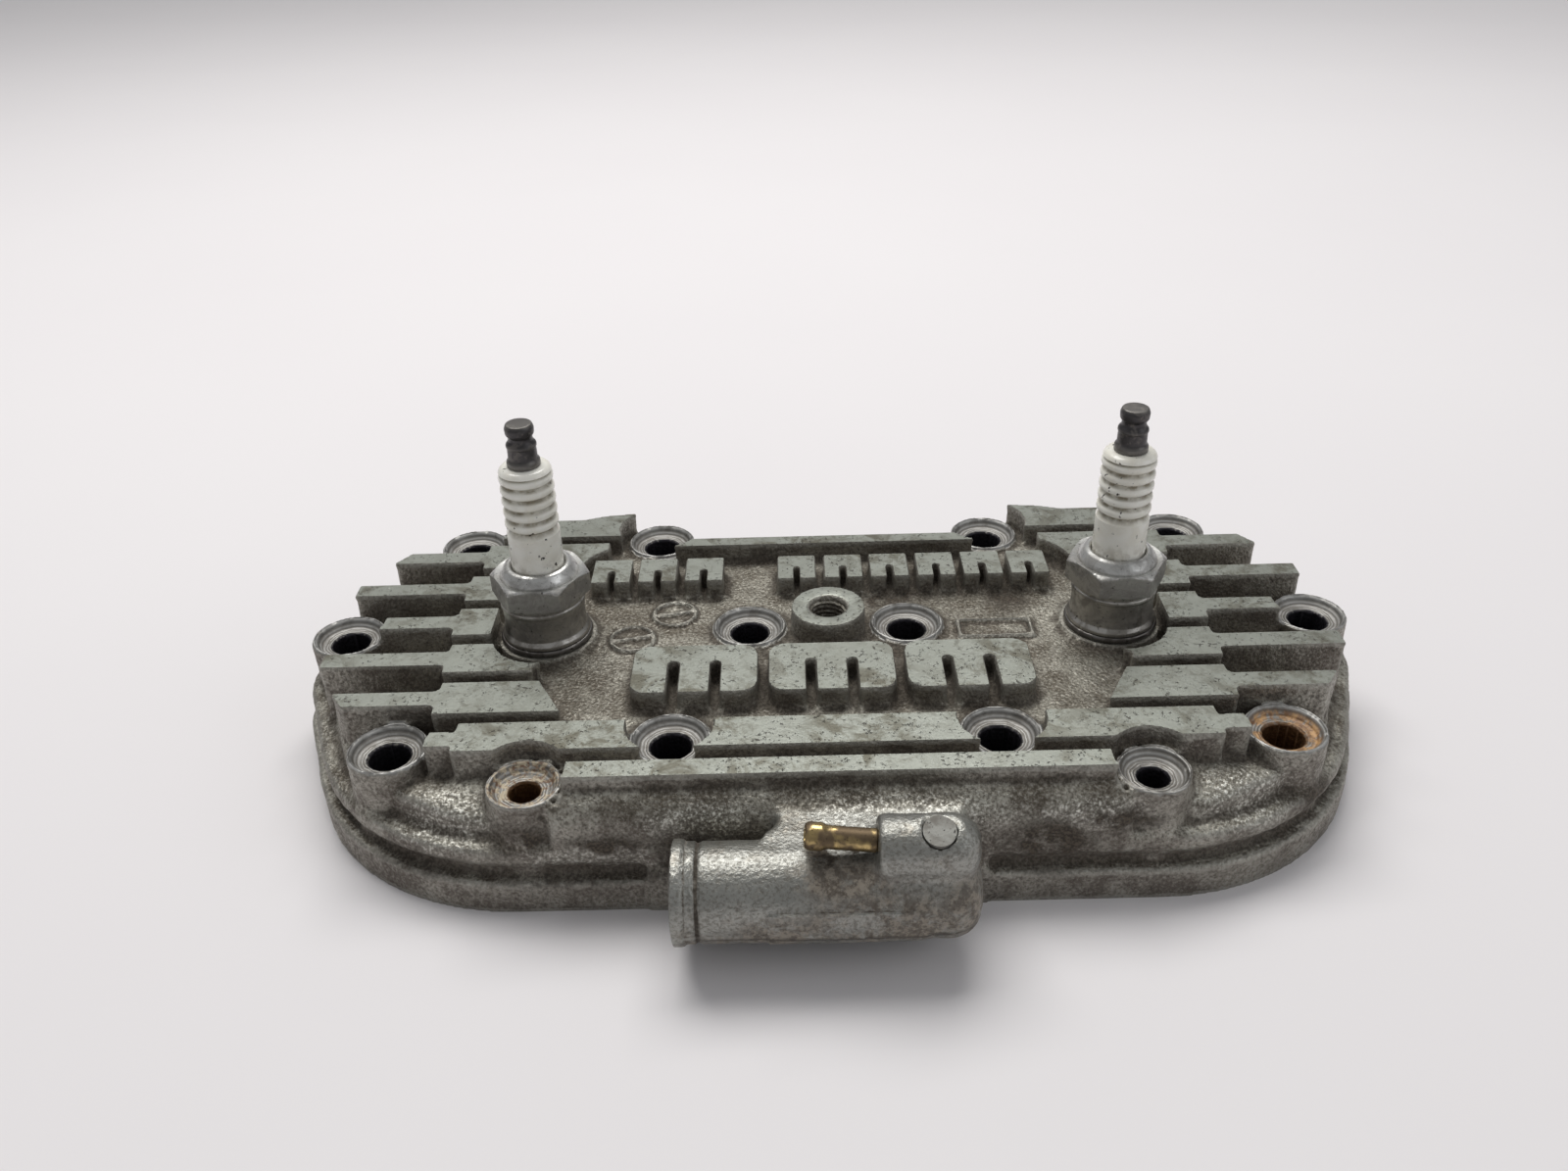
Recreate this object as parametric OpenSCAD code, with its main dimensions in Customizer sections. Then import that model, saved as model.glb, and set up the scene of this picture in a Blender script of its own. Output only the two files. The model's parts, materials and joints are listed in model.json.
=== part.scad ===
// Liquid-cooled cylinder head for a two-cylinder two-stroke engine, with its two spark plugs.
// Millimetres, +Z up. Origin: on the gasket face, midway between the two cylinders.
// +X runs along the crankshaft direction, -Y is the side with the coolant outlet.

/* [Head casting] */
// distance between the two cylinder axes
bore_pitch = 138; // [120:1:160]
// height of the milled fin tops above the gasket face
top_z = 31; // [28:0.5:36]
// height of the rims of the bolt bosses
rim_z = 27; // [24:0.5:29]
// height of the cast floor of the centre field
field_z = 25.5; // [22:0.5:26]
// height of the cast floor at the outer ends
end_floor_z = 18.5; // [15:0.5:21]
// height of the flange round the gasket face
flange_h = 8; // [6:0.5:10]
// height of the seat under each spark plug
seat_z = 26.5; // [25:0.5:29]

/* [Fins] */
// distance from one cooling fin to the next
fin_pitch = 15.6; // [14:0.1:18]
// thickness of the outer, thin part of a fin
fin_thin = 5.5; // [4:0.1:8]
// thickness of the wide part of a fin beside a spark plug
fin_wide = 12; // [9:0.5:13]

/* [Bolt holes] */
// diameter of the clearance holes for the M8 studs
stud_hole_d = 9; // [8.4:0.1:10]
// diameter of the two small clearance holes at the front
small_hole_d = 6.6; // [6.4:0.1:7.5]
// depth of the seat below the rim of a bolt boss
dish_depth = 2.3; // [1:0.1:4]

/* [Combustion chambers] */
// bore of the cylinders under the head
bore_d = 71; // [60:1:76]
// diameter of the bowl
bowl_d = 48; // [40:1:54]
// rise of the squish band from the gasket face
squish_rise = 1.6; // [0.5:0.1:3]
// depth of the bowl above the squish band
bowl_depth = 7.2; // [5:0.1:10]

/* [Coolant outlet] */
// outside diameter of the hose spigot
spigot_d = 20; // [16:0.5:24]
// inside diameter of the hose spigot
spigot_bore_d = 14.6; // [10:0.2:18]
// height of the spigot axis above the gasket face
spigot_z = 15.4; // [12:0.2:18]
// distance from the cylinder axes to the spigot axis
spigot_y = 78.3; // [76:0.2:84]

/* [Spark plugs] */
// width across the flats of the hexagon
hex_af = 20.8; // [16:0.1:21]
// length of the thread below the seat
reach = 19; // [12:0.5:20]
// outside diameter of the plug thread
plug_thread_d = 13.94; // [13.9:0.01:14]
// diameter of the plug hole in the casting
plug_hole_d = 14.06; // [14:0.01:14.2]
// thread pitch
plug_thread_pitch = 1.25; // [1:0.25:1.5]
// diameter of the ribbed part of the insulator
insulator_d = 12.4; // [10:0.1:13]
// number of ribs on the insulator
rib_count = 5; // [3:1:6]

/* [Hidden] */
$fn = 72;
eps = 0.01;
slip = 0.06;
plug_x = bore_pitch / 2;

// Bolt positions on the +X half, [x, y]; every one has a mirror twin.
mid_bolt = [118, 0.4];
back_outer_bolt = [95.3, 43.7];
back_inner_bolt = [44.1, 44.2];
centre_bolt = [19.3, 0.7];
front_inner_bolt = [35.9, -43.3];
front_outer_bolt = [97.3, -44.6];
small_bolt = [65.8, -57.3];
stud_bolts = [
    mid_bolt, back_outer_bolt, back_inner_bolt, centre_bolt, front_inner_bolt, front_outer_bolt
];

// Corners of the flange on the +X half, front to back: [x, y, corner radius].
flange_corners = [
    [105.6, -67.5, 55],
    [131.9, -0.5, 22],
    [104.2, 56.5, 16],
    [32, 56.5, 14],
    [22, 48, 14],
];

fin_ys = [for (row = [0 : 4]) 30.3 - row * fin_pitch];
fin_reach = [112.8, 119.3, 110, 119.3, 112.8];
fin_wide_start = [89.2, 91, 91, 90, 88.9];
fin_wide_end = [57, 81.5, 81.2, 67.2, 60.2];

boss_r = 8.9;
boss_rim_r = 8.2;
boss_seat_r = 6.9;
small_boss_r = 8;
small_rim_r = 7.3;
small_seat_r = 5.9;
relief_r = 9.6;
plug_boss_r = 12;

pocket_inner_r = 39.5;
pocket_w = 6.5;
pocket_h = 13;
pocket_span = 34;
pocket_angles = [91, 30, -27, -87, 150, -151];

neck_x = 6;
outlet_left_x = -34;
outlet_right_x = 27.5;
bleed_x = 6.5;
bleed_y = -79;
bleed_z = 27;
bleed_r = 6.5;
nipple_tilt = 7;
nipple_z = bleed_z + 1.7;
passage_plug_x = 18.3;
passage_plug_r = 3.3;
passage_plug_tilt = 22;

gasket_h = 1.5;
washer_z = -8.3;
washer_h = 0.5;
hex_z = 12.2;
hex_h = 5.9;
crimp_z = 20.6;
insulator_top = 46;
rib_pitch = 2.85;
first_rib_z = 31.9;

// ---------------------------------------------------------------- helpers

module both_sides() {
    children();
    mirror([1, 0, 0]) children();
}

function unit(v) = v / norm(v);

// Points of the arc that rounds corner b between its neighbours a and c.
function corner_arc(a, b, c, r, steps = 10) =
    let (
        to_a = unit(a - b),
        to_c = unit(c - b),
        half = acos(to_a * to_c) / 2,
        start = b + to_a * r / tan(half),
        centre = b + unit(to_a + to_c) * r / sin(half),
        turn = (180 - 2 * half) * (cross(b - a, c - b) > 0 ? 1 : -1),
        from = start - centre
    )
    [for (i = [0 : steps])
        let (t = turn * i / steps)
        centre + [from.x * cos(t) - from.y * sin(t), from.x * sin(t) + from.y * cos(t)]];

// Plan of the head at its flange, drawn in by the given distance on every side.
function flange_outline(inset) =
    let (
        half = [for (v = flange_corners) [v.x - inset, v.y - inset * sign(v.y), max(v[2] - inset, 4)]],
        n = len(half),
        ring = concat(half, [for (i = [n - 1 : -1 : 0]) [-half[i].x, half[i].y, half[i][2]]]),
        m = len(ring)
    )
    [for (i = [0 : m - 1])
        let (a = ring[(i + m - 1) % m], b = ring[i], c = ring[(i + 1) % m])
        each corner_arc([a.x, a.y], [b.x, b.y], [c.x, c.y], b[2])];

module slab(inset, z0, z1) {
    translate([0, 0, z0])
        linear_extrude(z1 - z0)
            polygon(flange_outline(inset));
}

module block(x0, x1, y0, y1, z0, z1) {
    translate([x0, y0, z0])
        cube([x1 - x0, y1 - y0, z1 - z0]);
}

module post(at, r, z0, z1) {
    translate([at.x, at.y, z0])
        cylinder(r = r, h = z1 - z0);
}

// ---------------------------------------------------------------- head casting

// Roof of the casting: level over the centre field, falling away to both ends.
module roof() {
    intersection() {
        slab(5, flange_h, top_z);
        translate([0, 100, 0])
            rotate([90, 0, 0])
                linear_extrude(200)
                    polygon([
                        [-130, 0], [130, 0], [130, end_floor_z - 1.5], [118, end_floor_z],
                        [74, field_z - 1], [60, field_z], [-60, field_z], [-74, field_z - 1],
                        [-118, end_floor_z], [-130, end_floor_z - 1.5],
                    ]);
        translate([-140, 0, 0])
            rotate([90, 0, 90])
                linear_extrude(280)
                    polygon([
                        [-66, 0], [56, 0], [56, 14], [50, 20], [40, field_z], [-50, field_z],
                        [-60, 21], [-66, 16],
                    ]);
    }
}

// Rounded shoulder between the two small bosses, running under the frontmost rib.
module front_shoulder() {
    translate([-60, 0, 0])
        rotate([90, 0, 90])
            linear_extrude(120)
                polygon([
                    [-50, 9], [-64.3, 9], [-64.4, 12], [-65.4, 15], [-66.2, 18], [-66.1, 21],
                    [-65.2, 23.8], [-63.6, 26], [-61.6, 27.4], [-55, 28], [-50, field_z],
                ]);
}

module shell_walls() {
    slab(0, 0, flange_h);
    slab(3, flange_h - 1, 13);
    slab(1.2, 11.5, 16);
    roof();
}

module fin_row(row) {
    y = fin_ys[row];
    block(fin_wide_start[row] - 1, fin_reach[row], y - fin_thin / 2, y + fin_thin / 2, 14, top_z);
    block(
        fin_wide_end[row], fin_wide_start[row], y - fin_wide / 2, y + fin_wide / 2, 18, top_z
    );
}

// Clearance between the fins and the spark plug, and the slanted or curved fin ends.
module fin_trims() {
    post([plug_x - 0.3, -7.5], 11.5, 18, top_z + 1);
    post([50.5, 21.5], 13, field_z, top_z + 1);
    for (end = [[fin_ys[0], 1], [fin_ys[4], -1]])
        translate([fin_reach[0], end[0], 0])
            rotate([0, 0, end[1] * 35])
                block(-1, 10, -12, 12, 14, top_z + 1);
    translate([fin_wide_end[4], fin_ys[4] - fin_wide / 2, 18])
        rotate([0, 0, -28])
            block(-20, 0, -5, 20, 0, top_z);
}

module side_fins() {
    difference() {
        for (row = [0 : 4])
            fin_row(row);
        fin_trims();
    }
}

module front_rib() {
    block(45, 82, -51.5, -41.3, 18, top_z);
    block(81, 88, -49.6, -44.5, 16, top_z);
}

module back_rib() {
    translate([0, 0, 12])
        linear_extrude(top_z - 12)
            polygon([[50, 40], [90, 40], [90, 49.6], [66, 49.6], [60, 51.6], [50, 52.8]]);
}

module long_ribs() {
    block(-45.5, 45.5, -51.5, -41.3, 20, top_z);
    block(-57.6, 57.6, -61, -55.4, 12, top_z);
    block(-40, 40, 33.5, 37.7, 20, top_z);
}

module bolt_bosses() {
    for (at = stud_bolts)
        post(at, boss_r, flange_h - 1, rim_z);
    post(small_bolt, small_boss_r, flange_h - 1, rim_z);
    post([plug_x, 0], plug_boss_r, 10, seat_z);
}

module bolt_reliefs() {
    post(front_inner_bolt, relief_r, field_z - 1, top_z + 1);
    post(small_bolt, 9, 20, top_z + 1);
    post(back_inner_bolt, 11, field_z - 1, top_z + 1);
    for (at = [mid_bolt, back_outer_bolt, front_outer_bolt])
        post(at, boss_r + 0.5, rim_z - 4, top_z + 1);
}

module dished_hole(at, hole_r, seat_r, rim_r) {
    post(at, hole_r, -1, top_z);
    translate([at.x, at.y, rim_z - dish_depth])
        cylinder(r1 = seat_r, r2 = rim_r, h = dish_depth + eps);
}

module bolt_holes() {
    for (at = stud_bolts)
        dished_hole(at, stud_hole_d / 2, boss_seat_r, boss_rim_r);
    dished_hole(small_bolt, small_hole_d / 2, small_seat_r, small_rim_r);
}

// Squish band, bowl and plug hole, drawn about the cylinder axis.
module chamber() {
    ball_r = (pow(bowl_d / 2, 2) + pow(bowl_depth, 2)) / (2 * bowl_depth);
    translate([0, 0, -eps])
        cylinder(d1 = bore_d, d2 = bowl_d, h = squish_rise + eps);
    intersection() {
        translate([0, 0, squish_rise + bowl_depth - ball_r])
            sphere(r = ball_r, $fn = 120);
        translate([0, 0, squish_rise - eps])
            cylinder(d = bowl_d, h = bowl_depth + 1);
    }
    cylinder(d = plug_hole_d, h = top_z);
}

module water_pockets() {
    for (a = pocket_angles)
        rotate([0, 0, a - pocket_span / 2])
            rotate_extrude(angle = pocket_span)
                translate([pocket_inner_r, -1])
                    square([pocket_w, pocket_h + 1]);
}

// A row of plain raised blocks with a short slot in each, in two groups.
module field_blocks() {
    block_pitch = 11.9;
    for (i = [0 : 9])
        if (i != 3)
            translate([-60 + i * block_pitch, 15.6, field_z - 3])
                slotted_block(10, 11.6, top_z - field_z + 3);
}

module slotted_block(w, d, h) {
    difference() {
        cube([w, d, h]);
        translate([w / 2 - 0.8, -1, 3])
            cube([1.6, d / 2 + 1, h]);
    }
}

// Three wide raised pads with two slots in each.
module slotted_pads() {
    pad_w = 29;
    pad_d = 18.8;
    for (i = [-1 : 1])
        translate([i * 31.5, -22.9, field_z - 3])
            difference() {
                linear_extrude(top_z - field_z + 3)
                    polygon(rounded_box(pad_w, pad_d, 4));
                for (x = [-4.8, 4.8])
                    translate([x - 1.2, -pad_d / 2 - 1, 3])
                        cube([2.4, pad_d * 0.7, top_z]);
            }
}

function rounded_box(w, d, r) =
    let (ring = [[w / 2, -d / 2], [w / 2, d / 2], [-w / 2, d / 2], [-w / 2, -d / 2]])
    [for (i = [0 : 3]) each corner_arc(ring[(i + 3) % 4], ring[i], ring[(i + 1) % 4], r, 6)];

module casting_dials() {
    for (at = [[-38.3, 8.2], [-48, -2.6]])
        difference() {
            post(at, 5.6, field_z - 2, field_z + 0.8);
            difference() {
                post(at, 4.9, field_z + 0.1, field_z + 1);
                translate([at.x, at.y, field_z + 0.5])
                    rotate([0, 0, 12])
                        cube([12, 1.2, 1], center = true);
            }
        }
}

// Plain raised frame on the centre field.
module casting_frame() {
    difference() {
        block(31.5, 50, -5.5, 2.5, field_z - 2, field_z + 0.8);
        block(32.4, 49.1, -4.6, 1.6, field_z + 0.1, field_z + 1);
    }
}

module port_boss() {
    post([0, 0], 9, 18, top_z + 1.5);
}

module port_hole() {
    post([0, 0], 4.4, 20, top_z + 2);
    post([0, 0], 3.3, 15, 21);
    translate([0, 0, top_z + 0.9])
        cylinder(r1 = 4.4, r2 = 5.1, h = 0.7);
}

module along_x(x0, x1, y, z, r) {
    translate([x0, y, z])
        rotate([0, 90, 0])
            cylinder(r = r, h = x1 - x0);
}

// A round bar along X whose +X end is rounded over with the given edge radius.
module rounded_bar(x0, x1, y, z, r, edge) {
    translate([x0, y, z])
        rotate([0, 90, 0])
            rotate_extrude()
                polygon(concat(
                    [[0, 0], [r, 0]],
                    [for (i = [0 : 6])
                        let (a = i * 15)
                        [r - edge + edge * cos(a), x1 - x0 - edge + edge * sin(a)]],
                    [[0, x1 - x0]]
                ));
}

module outlet_body() {
    r = spigot_d / 2;
    rounded_bar(outlet_left_x + 1, outlet_right_x, -spigot_y, spigot_z, r, 6.5);
    rounded_bar(outlet_left_x, outlet_left_x + 3.2, -spigot_y, spigot_z, r + 0.5, 0.6);
    rounded_bar(bleed_x, outlet_right_x - 0.6, bleed_y, bleed_z, bleed_r, 5);
    outlet_neck();
    outlet_foot();
}

// The wall behind the outlet, set back above its foot so that a hose end fits past it.
module outlet_foot() {
    translate([-40.3, 0, 0])
        rotate([90, 0, 90])
            linear_extrude(71.4)
                polygon([
                    [-60, 0], [-67.9, 0], [-67.9, 9.5], [-66.8, 11.5], [-66.8, 16.6], [-60, 16.6],
                ]);
}

module outlet_neck() {
    r = spigot_d / 2;
    translate([0, 0, spigot_z - r])
        linear_extrude(2 * r - 0.4)
            polygon([
                [-12.5, -60], [-13, -68], [-15.5, -72], [-17.5, -spigot_y], [20, -spigot_y],
                [25.6, -76], [25.6, -60],
            ]);
}

module outlet_passage() {
    r = spigot_bore_d / 2;
    along_x(outlet_left_x - 1, neck_x + 4, -spigot_y, spigot_z, r);
    translate([neck_x + 4, -spigot_y, spigot_z])
        sphere(r = r);
    translate([neck_x + 4, -spigot_y, spigot_z])
        rotate([-90, 0, 0])
            cylinder(r = r, h = spigot_y - 53);
    block(-22, 22, -57, -50.5, -1, spigot_z);
}

module nipple_frame() {
    translate([bleed_x, bleed_y, nipple_z])
        rotate([0, nipple_tilt, 0])
            rotate([0, -90, 0])
                children();
}

module passage_plug_frame() {
    translate([passage_plug_x, bleed_y, bleed_z])
        rotate([passage_plug_tilt, 0, 0])
            children();
}

module head_casting() {
    color([0.60, 0.60, 0.57])
        difference() {
            union() {
                shell_walls();
                difference() {
                    union() {
                        both_sides() side_fins();
                        both_sides() front_rib();
                        both_sides() back_rib();
                        long_ribs();
                        front_shoulder();
                        field_blocks();
                        slotted_pads();
                    }
                    both_sides() bolt_reliefs();
                }
                casting_dials();
                casting_frame();
                both_sides() bolt_bosses();
                port_boss();
                outlet_body();
            }
            both_sides() bolt_holes();
            both_sides() translate([plug_x, 0, 0]) chamber();
            both_sides() translate([plug_x, 0, 0]) water_pockets();
            port_hole();
            outlet_passage();
            nipple_frame() translate([0, 0, -6]) cylinder(r = 2.2, h = 8);
            passage_plug_frame() translate([0, 0, bleed_r - 2.2]) cylinder(r = passage_plug_r, h = 4);
        }
}

module bleed_nipple() {
    color([0.62, 0.50, 0.25])
        nipple_frame()
            rotate_extrude()
                polygon([
                    [1.4, -5.5], [2.14, -5.5], [2.14, 0.05], [2.35, 0.05], [2.35, 9.9],
                    [2.8, 10.7], [2.8, 13.2], [2.3, 14.1], [1.4, 14.1],
                ]);
}

module passage_plug() {
    color([0.66, 0.66, 0.64])
        passage_plug_frame()
            translate([0, 0, bleed_r - 2.15])
                cylinder(r1 = passage_plug_r - slip, r2 = passage_plug_r - slip, h = 2.1);
}

// ---------------------------------------------------------------- spark plugs
// Every plug piece is drawn about the plug axis with z = 0 at the seat in the casting.

module on_seat(side) {
    translate([side * plug_x, 0, seat_z])
        children();
}

function thread_profile(r, depth, z0, z1, pitch) =
    [for (i = [0 : floor((z1 - z0) / pitch) - 1])
        each [[r - depth, z0 + i * pitch], [r, z0 + (i + 0.5) * pitch]]];

module shell_blank() {
    thread_r = plug_thread_d / 2;
    rotate_extrude()
        polygon(concat(
            [[5.2, -reach]],
            [[thread_r - 0.9, -reach]],
            thread_profile(thread_r, 0.62, -reach + 0.6, -2.5, plug_thread_pitch),
            [
                [thread_r - 0.7, -2.4], [thread_r - 0.7, gasket_h + slip],
                [10.6, gasket_h + slip], [10.6, 2.4], [9.9, 3.4], [9.7, 6.5], [9.9, 9.8],
                [10.15, 10], [10.15, 10.9], [9.8, 11.1], [10.15, 11.3], [10.15, hex_z + 1],
                [9.2, hex_z + 1], [9.2, hex_z + hex_h], [9.0, 18.8], [7.9, 20.2], [7.0, crimp_z],
                [6.45, crimp_z - 0.4], [6.45, 18.6], [7.6, 17.8], [7.6, 3], [5.4, 1.2],
                [5.4, washer_z - slip], [4.2, washer_z - slip], [4.2, -9.5], [5.2, -10.5],
            ]
        ));
}

module hexagon() {
    intersection() {
        translate([0, 0, hex_z])
            difference() {
                cylinder(d = hex_af / cos(30), h = hex_h, $fn = 6);
                translate([0, 0, -1])
                    cylinder(r = 8.6, h = hex_h + 2);
            }
        translate([0, 0, hex_z])
            cylinder(r1 = hex_af / 2 + 0.4, r2 = hex_af / 2 + 0.4 + 3 * hex_h, h = hex_h);
        translate([0, 0, hex_z])
            cylinder(r1 = hex_af / 2 + 0.2 + 1.6 * hex_h, r2 = hex_af / 2 + 0.2, h = hex_h);
    }
}

module plug_shell() {
    color([0.48, 0.49, 0.50])
        union() {
            shell_blank();
            hexagon();
        }
}

module plug_gasket() {
    color([0.45, 0.45, 0.45])
        rotate_extrude()
            polygon([
                [7.15, 0.25], [7.5, 0], [10.8, 0], [11.15, 0.3], [11.2, 0.75], [11.15, gasket_h - 0.3],
                [10.8, gasket_h], [7.5, gasket_h], [7.15, gasket_h - 0.25],
            ]);
}

function rib_points(n) =
    [for (i = [0 : n - 1])
        let (z = first_rib_z + i * rib_pitch)
        each [
            [insulator_d / 2 - 0.75, z - rib_pitch / 2], [insulator_d / 2 - 0.1, z - 0.75],
            [insulator_d / 2 + 0.1, z], [insulator_d / 2 - 0.1, z + 0.75],
        ]];

module plug_insulator() {
    r = insulator_d / 2;
    color([0.93, 0.92, 0.88])
        rotate_extrude()
            polygon(concat(
                [
                    [1.35, -reach + 1.4], [2.1, -reach + 1.2], [3.0, -11], [3.8, -9.4],
                    [3.8, washer_z + washer_h + slip], [5.0, washer_z + washer_h + slip],
                    [5.0, 1.4], [7.3, 3.4], [7.3, 9], [r, 10.4], [r, 29.6],
                ],
                rib_points(rib_count),
                [
                    [r - 0.75, first_rib_z + (rib_count - 0.5) * rib_pitch],
                    [r - 0.2, insulator_top - 1.6], [r - 0.6, insulator_top - 0.5],
                    [r - 1.4, insulator_top], [2.3, insulator_top], [2.3, -2], [1.35, -2.6],
                ]
            ));
}

module plug_terminal_nut() {
    z = insulator_top + slip;
    color([0.16, 0.15, 0.15])
        rotate_extrude()
            polygon([
                [2.02, z], [3.85, z], [3.85, z + 1.2], [3.4, z + 2], [3.4, z + 4.8],
                [3.2, z + 5.6], [2.75, z + 6.4], [2.75, z + 7.2], [3.2, z + 8],
                [3.35, z + 9.2], [2.9, z + 10.3], [2.02, z + 10.3],
            ]);
}

module plug_terminal_stud() {
    color([0.55, 0.56, 0.57])
        rotate_extrude()
            polygon([
                [0, 12.6], [2.2, 12.6], [2.2, insulator_top - 1], [1.95, insulator_top - 0.5],
                [1.95, insulator_top + 9.8], [1.6, insulator_top + 10.2],
                [0, insulator_top + 10.2],
            ]);
}

module plug_resistor() {
    color([0.20, 0.19, 0.18])
        translate([0, 0, 1])
            cylinder(r = 2.2, h = 11.4);
}

module plug_centre_electrode() {
    color([0.50, 0.47, 0.42])
        rotate_extrude()
            polygon([
                [0, -reach - 0.6], [1.2, -reach - 0.6], [1.25, -2.4], [2.2, -1.7], [2.2, 0.9],
                [0, 0.9],
            ]);
}

// An L-shaped strap: down from the end of the thread, then in under the centre electrode.
module plug_ground_electrode() {
    color([0.46, 0.44, 0.42])
        translate([0, 0, -reach])
            rotate([0, 0, 90]) {
                translate([4.6, -1.3, -2.9])
                    cube([1.4, 2.6, 2.9 - slip]);
                translate([-1.2, -1.3, -2.9])
                    cube([6, 2.6, 1.4]);
            }
}

module plug_sealing_powder() {
    color([0.75, 0.74, 0.70])
        translate([0, 0, 10.6])
            difference() {
                cylinder(r = 7.6 - slip, h = 6.6);
                translate([0, 0, -1])
                    cylinder(r = insulator_d / 2 + slip, h = 9);
            }
}

module plug_inner_washer() {
    color([0.55, 0.53, 0.50])
        translate([0, 0, washer_z])
            difference() {
                cylinder(r = 5.2, h = washer_h);
                translate([0, 0, -1])
                    cylinder(r = 4.1, h = 3);
            }
}

head_casting();
bleed_nipple();
passage_plug();
on_seat(-1) plug_shell();  // left_plug_shell
on_seat(-1) plug_gasket();  // left_plug_gasket
on_seat(-1) plug_insulator();  // left_plug_insulator
on_seat(-1) plug_terminal_nut();  // left_plug_terminal_nut
on_seat(-1) plug_terminal_stud();  // left_plug_terminal_stud
on_seat(-1) plug_resistor();  // left_plug_resistor
on_seat(-1) plug_centre_electrode();  // left_plug_centre_electrode
on_seat(-1) plug_ground_electrode();  // left_plug_ground_electrode
on_seat(-1) plug_sealing_powder();  // left_plug_sealing_powder
on_seat(-1) plug_inner_washer();  // left_plug_inner_washer
on_seat(1) plug_shell();  // right_plug_shell
on_seat(1) plug_gasket();  // right_plug_gasket
on_seat(1) plug_insulator();  // right_plug_insulator
on_seat(1) plug_terminal_nut();  // right_plug_terminal_nut
on_seat(1) plug_terminal_stud();  // right_plug_terminal_stud
on_seat(1) plug_resistor();  // right_plug_resistor
on_seat(1) plug_centre_electrode();  // right_plug_centre_electrode
on_seat(1) plug_ground_electrode();  // right_plug_ground_electrode
on_seat(1) plug_sealing_powder();  // right_plug_sealing_powder
on_seat(1) plug_inner_washer();  // right_plug_inner_washer
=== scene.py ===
"""Looks of a finned two-cylinder engine head with its two spark plugs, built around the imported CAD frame."""
import json
import math

import bmesh
import bpy
import numpy as np
from mathutils import Matrix, Vector, kdtree


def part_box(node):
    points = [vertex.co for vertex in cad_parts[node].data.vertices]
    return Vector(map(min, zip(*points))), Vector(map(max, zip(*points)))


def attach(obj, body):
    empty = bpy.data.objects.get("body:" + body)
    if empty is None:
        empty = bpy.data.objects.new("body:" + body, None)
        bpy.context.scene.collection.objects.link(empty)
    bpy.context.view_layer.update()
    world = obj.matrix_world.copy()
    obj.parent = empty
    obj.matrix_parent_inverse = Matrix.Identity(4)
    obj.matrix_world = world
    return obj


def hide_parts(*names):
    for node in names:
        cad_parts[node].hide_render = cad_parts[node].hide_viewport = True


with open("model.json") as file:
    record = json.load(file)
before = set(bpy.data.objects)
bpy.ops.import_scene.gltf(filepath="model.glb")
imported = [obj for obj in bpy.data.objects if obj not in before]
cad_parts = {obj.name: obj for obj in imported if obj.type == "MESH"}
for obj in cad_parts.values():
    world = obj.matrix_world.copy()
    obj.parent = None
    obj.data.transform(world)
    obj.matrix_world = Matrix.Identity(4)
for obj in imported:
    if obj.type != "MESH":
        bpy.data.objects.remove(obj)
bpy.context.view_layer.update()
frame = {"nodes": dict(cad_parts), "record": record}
MM = 0.001
record = frame["record"]
mounts = {m["name"]: m for m in record["mounts"]}

# Sizes of the casting, in millimetres; heights are above the gasket face.
TOP_Z = 31
RIM_Z = 27
DISH_DEPTH = 2.3
CHAMBER_R = 35.5
CHAMBER_TOP = 9.5
PLUG_BOSS_R = 12
PLUG_HOLE_R = 7.4
PORT_R = 5.4
PORT_LOW = 14
FIELD_Z = 25.5
FIELD_MARK_HEIGHT = 0.8

# Outer radius of a bolt boss and of the cut seat in it, round a hole of the larger size.
BOSS_R = 8.9
SEAT_R = 8.45
LARGE_HOLE_R = 4.5

# Everything further forward than this stands out from the front slope.
OUTLET_LINE = -65

# Two cast rings with a bar across, as (x, y), and a plain cast frame, as x and y limits.
DIALS = [(-38.3, 8.2), (-48, -2.6)]
DIAL_R = 5.25
FIELD_FRAME = (31.5, 50, -5.5, 2.5)

# The hose spigot along X: its end, the scored ring, where it stops being round on all sides, the step
# where the mould changes, and its far end.
SPIGOT_END = -34
SPIGOT_RING = -28.7
SPIGOT_FREE = -18.5
SPIGOT_STEP = -14.8
SPIGOT_STOP = 18
SPIGOT_R = 10
PARTING_Z = 12.3

# The spigot pipe and the wall at its foot lie further forward than these.
PIPE_BACK = -68.3
FOOT_BACK = -64.5

# Mesh density of the casting.
VOXEL = 0.55
FACE_BUDGET = 185_000


# ---- mesh helpers


def link(obj):
    bpy.context.scene.collection.objects.link(obj)
    return obj


def object_from(name, verts, faces):
    """A new linked object from points in metres and index lists."""
    mesh = bpy.data.meshes.new(name)
    mesh.from_pydata([tuple(v) for v in verts], [], faces)
    mesh.validate()
    return link(bpy.data.objects.new(name, mesh))


def shade(obj, angle=32):
    """Smooth shading that keeps every edge sharper than the angle crisp."""
    obj.data.polygons.foreach_set("use_smooth", np.ones(len(obj.data.polygons), bool))
    obj.data.set_sharp_from_angle(angle=math.radians(angle))


def face_outwards(obj):
    """Turns a closed mesh's faces outwards, then shades it."""
    work = bmesh.new()
    work.from_mesh(obj.data)
    bmesh.ops.recalc_face_normals(work, faces=work.faces)
    work.to_mesh(obj.data)
    work.free()
    shade(obj)


def tube_faces(rings, count):
    """Faces of a tube of rings with this many points each, closed at both ends."""
    faces = []
    for i in range(rings - 1):
        for k in range(count):
            n = (k + 1) % count
            faces.append([i * count + k, i * count + n, (i + 1) * count + n, (i + 1) * count + k])
    faces.append(list(range(count)))
    faces.append([(rings - 1) * count + k for k in range(count)])
    return faces


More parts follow.
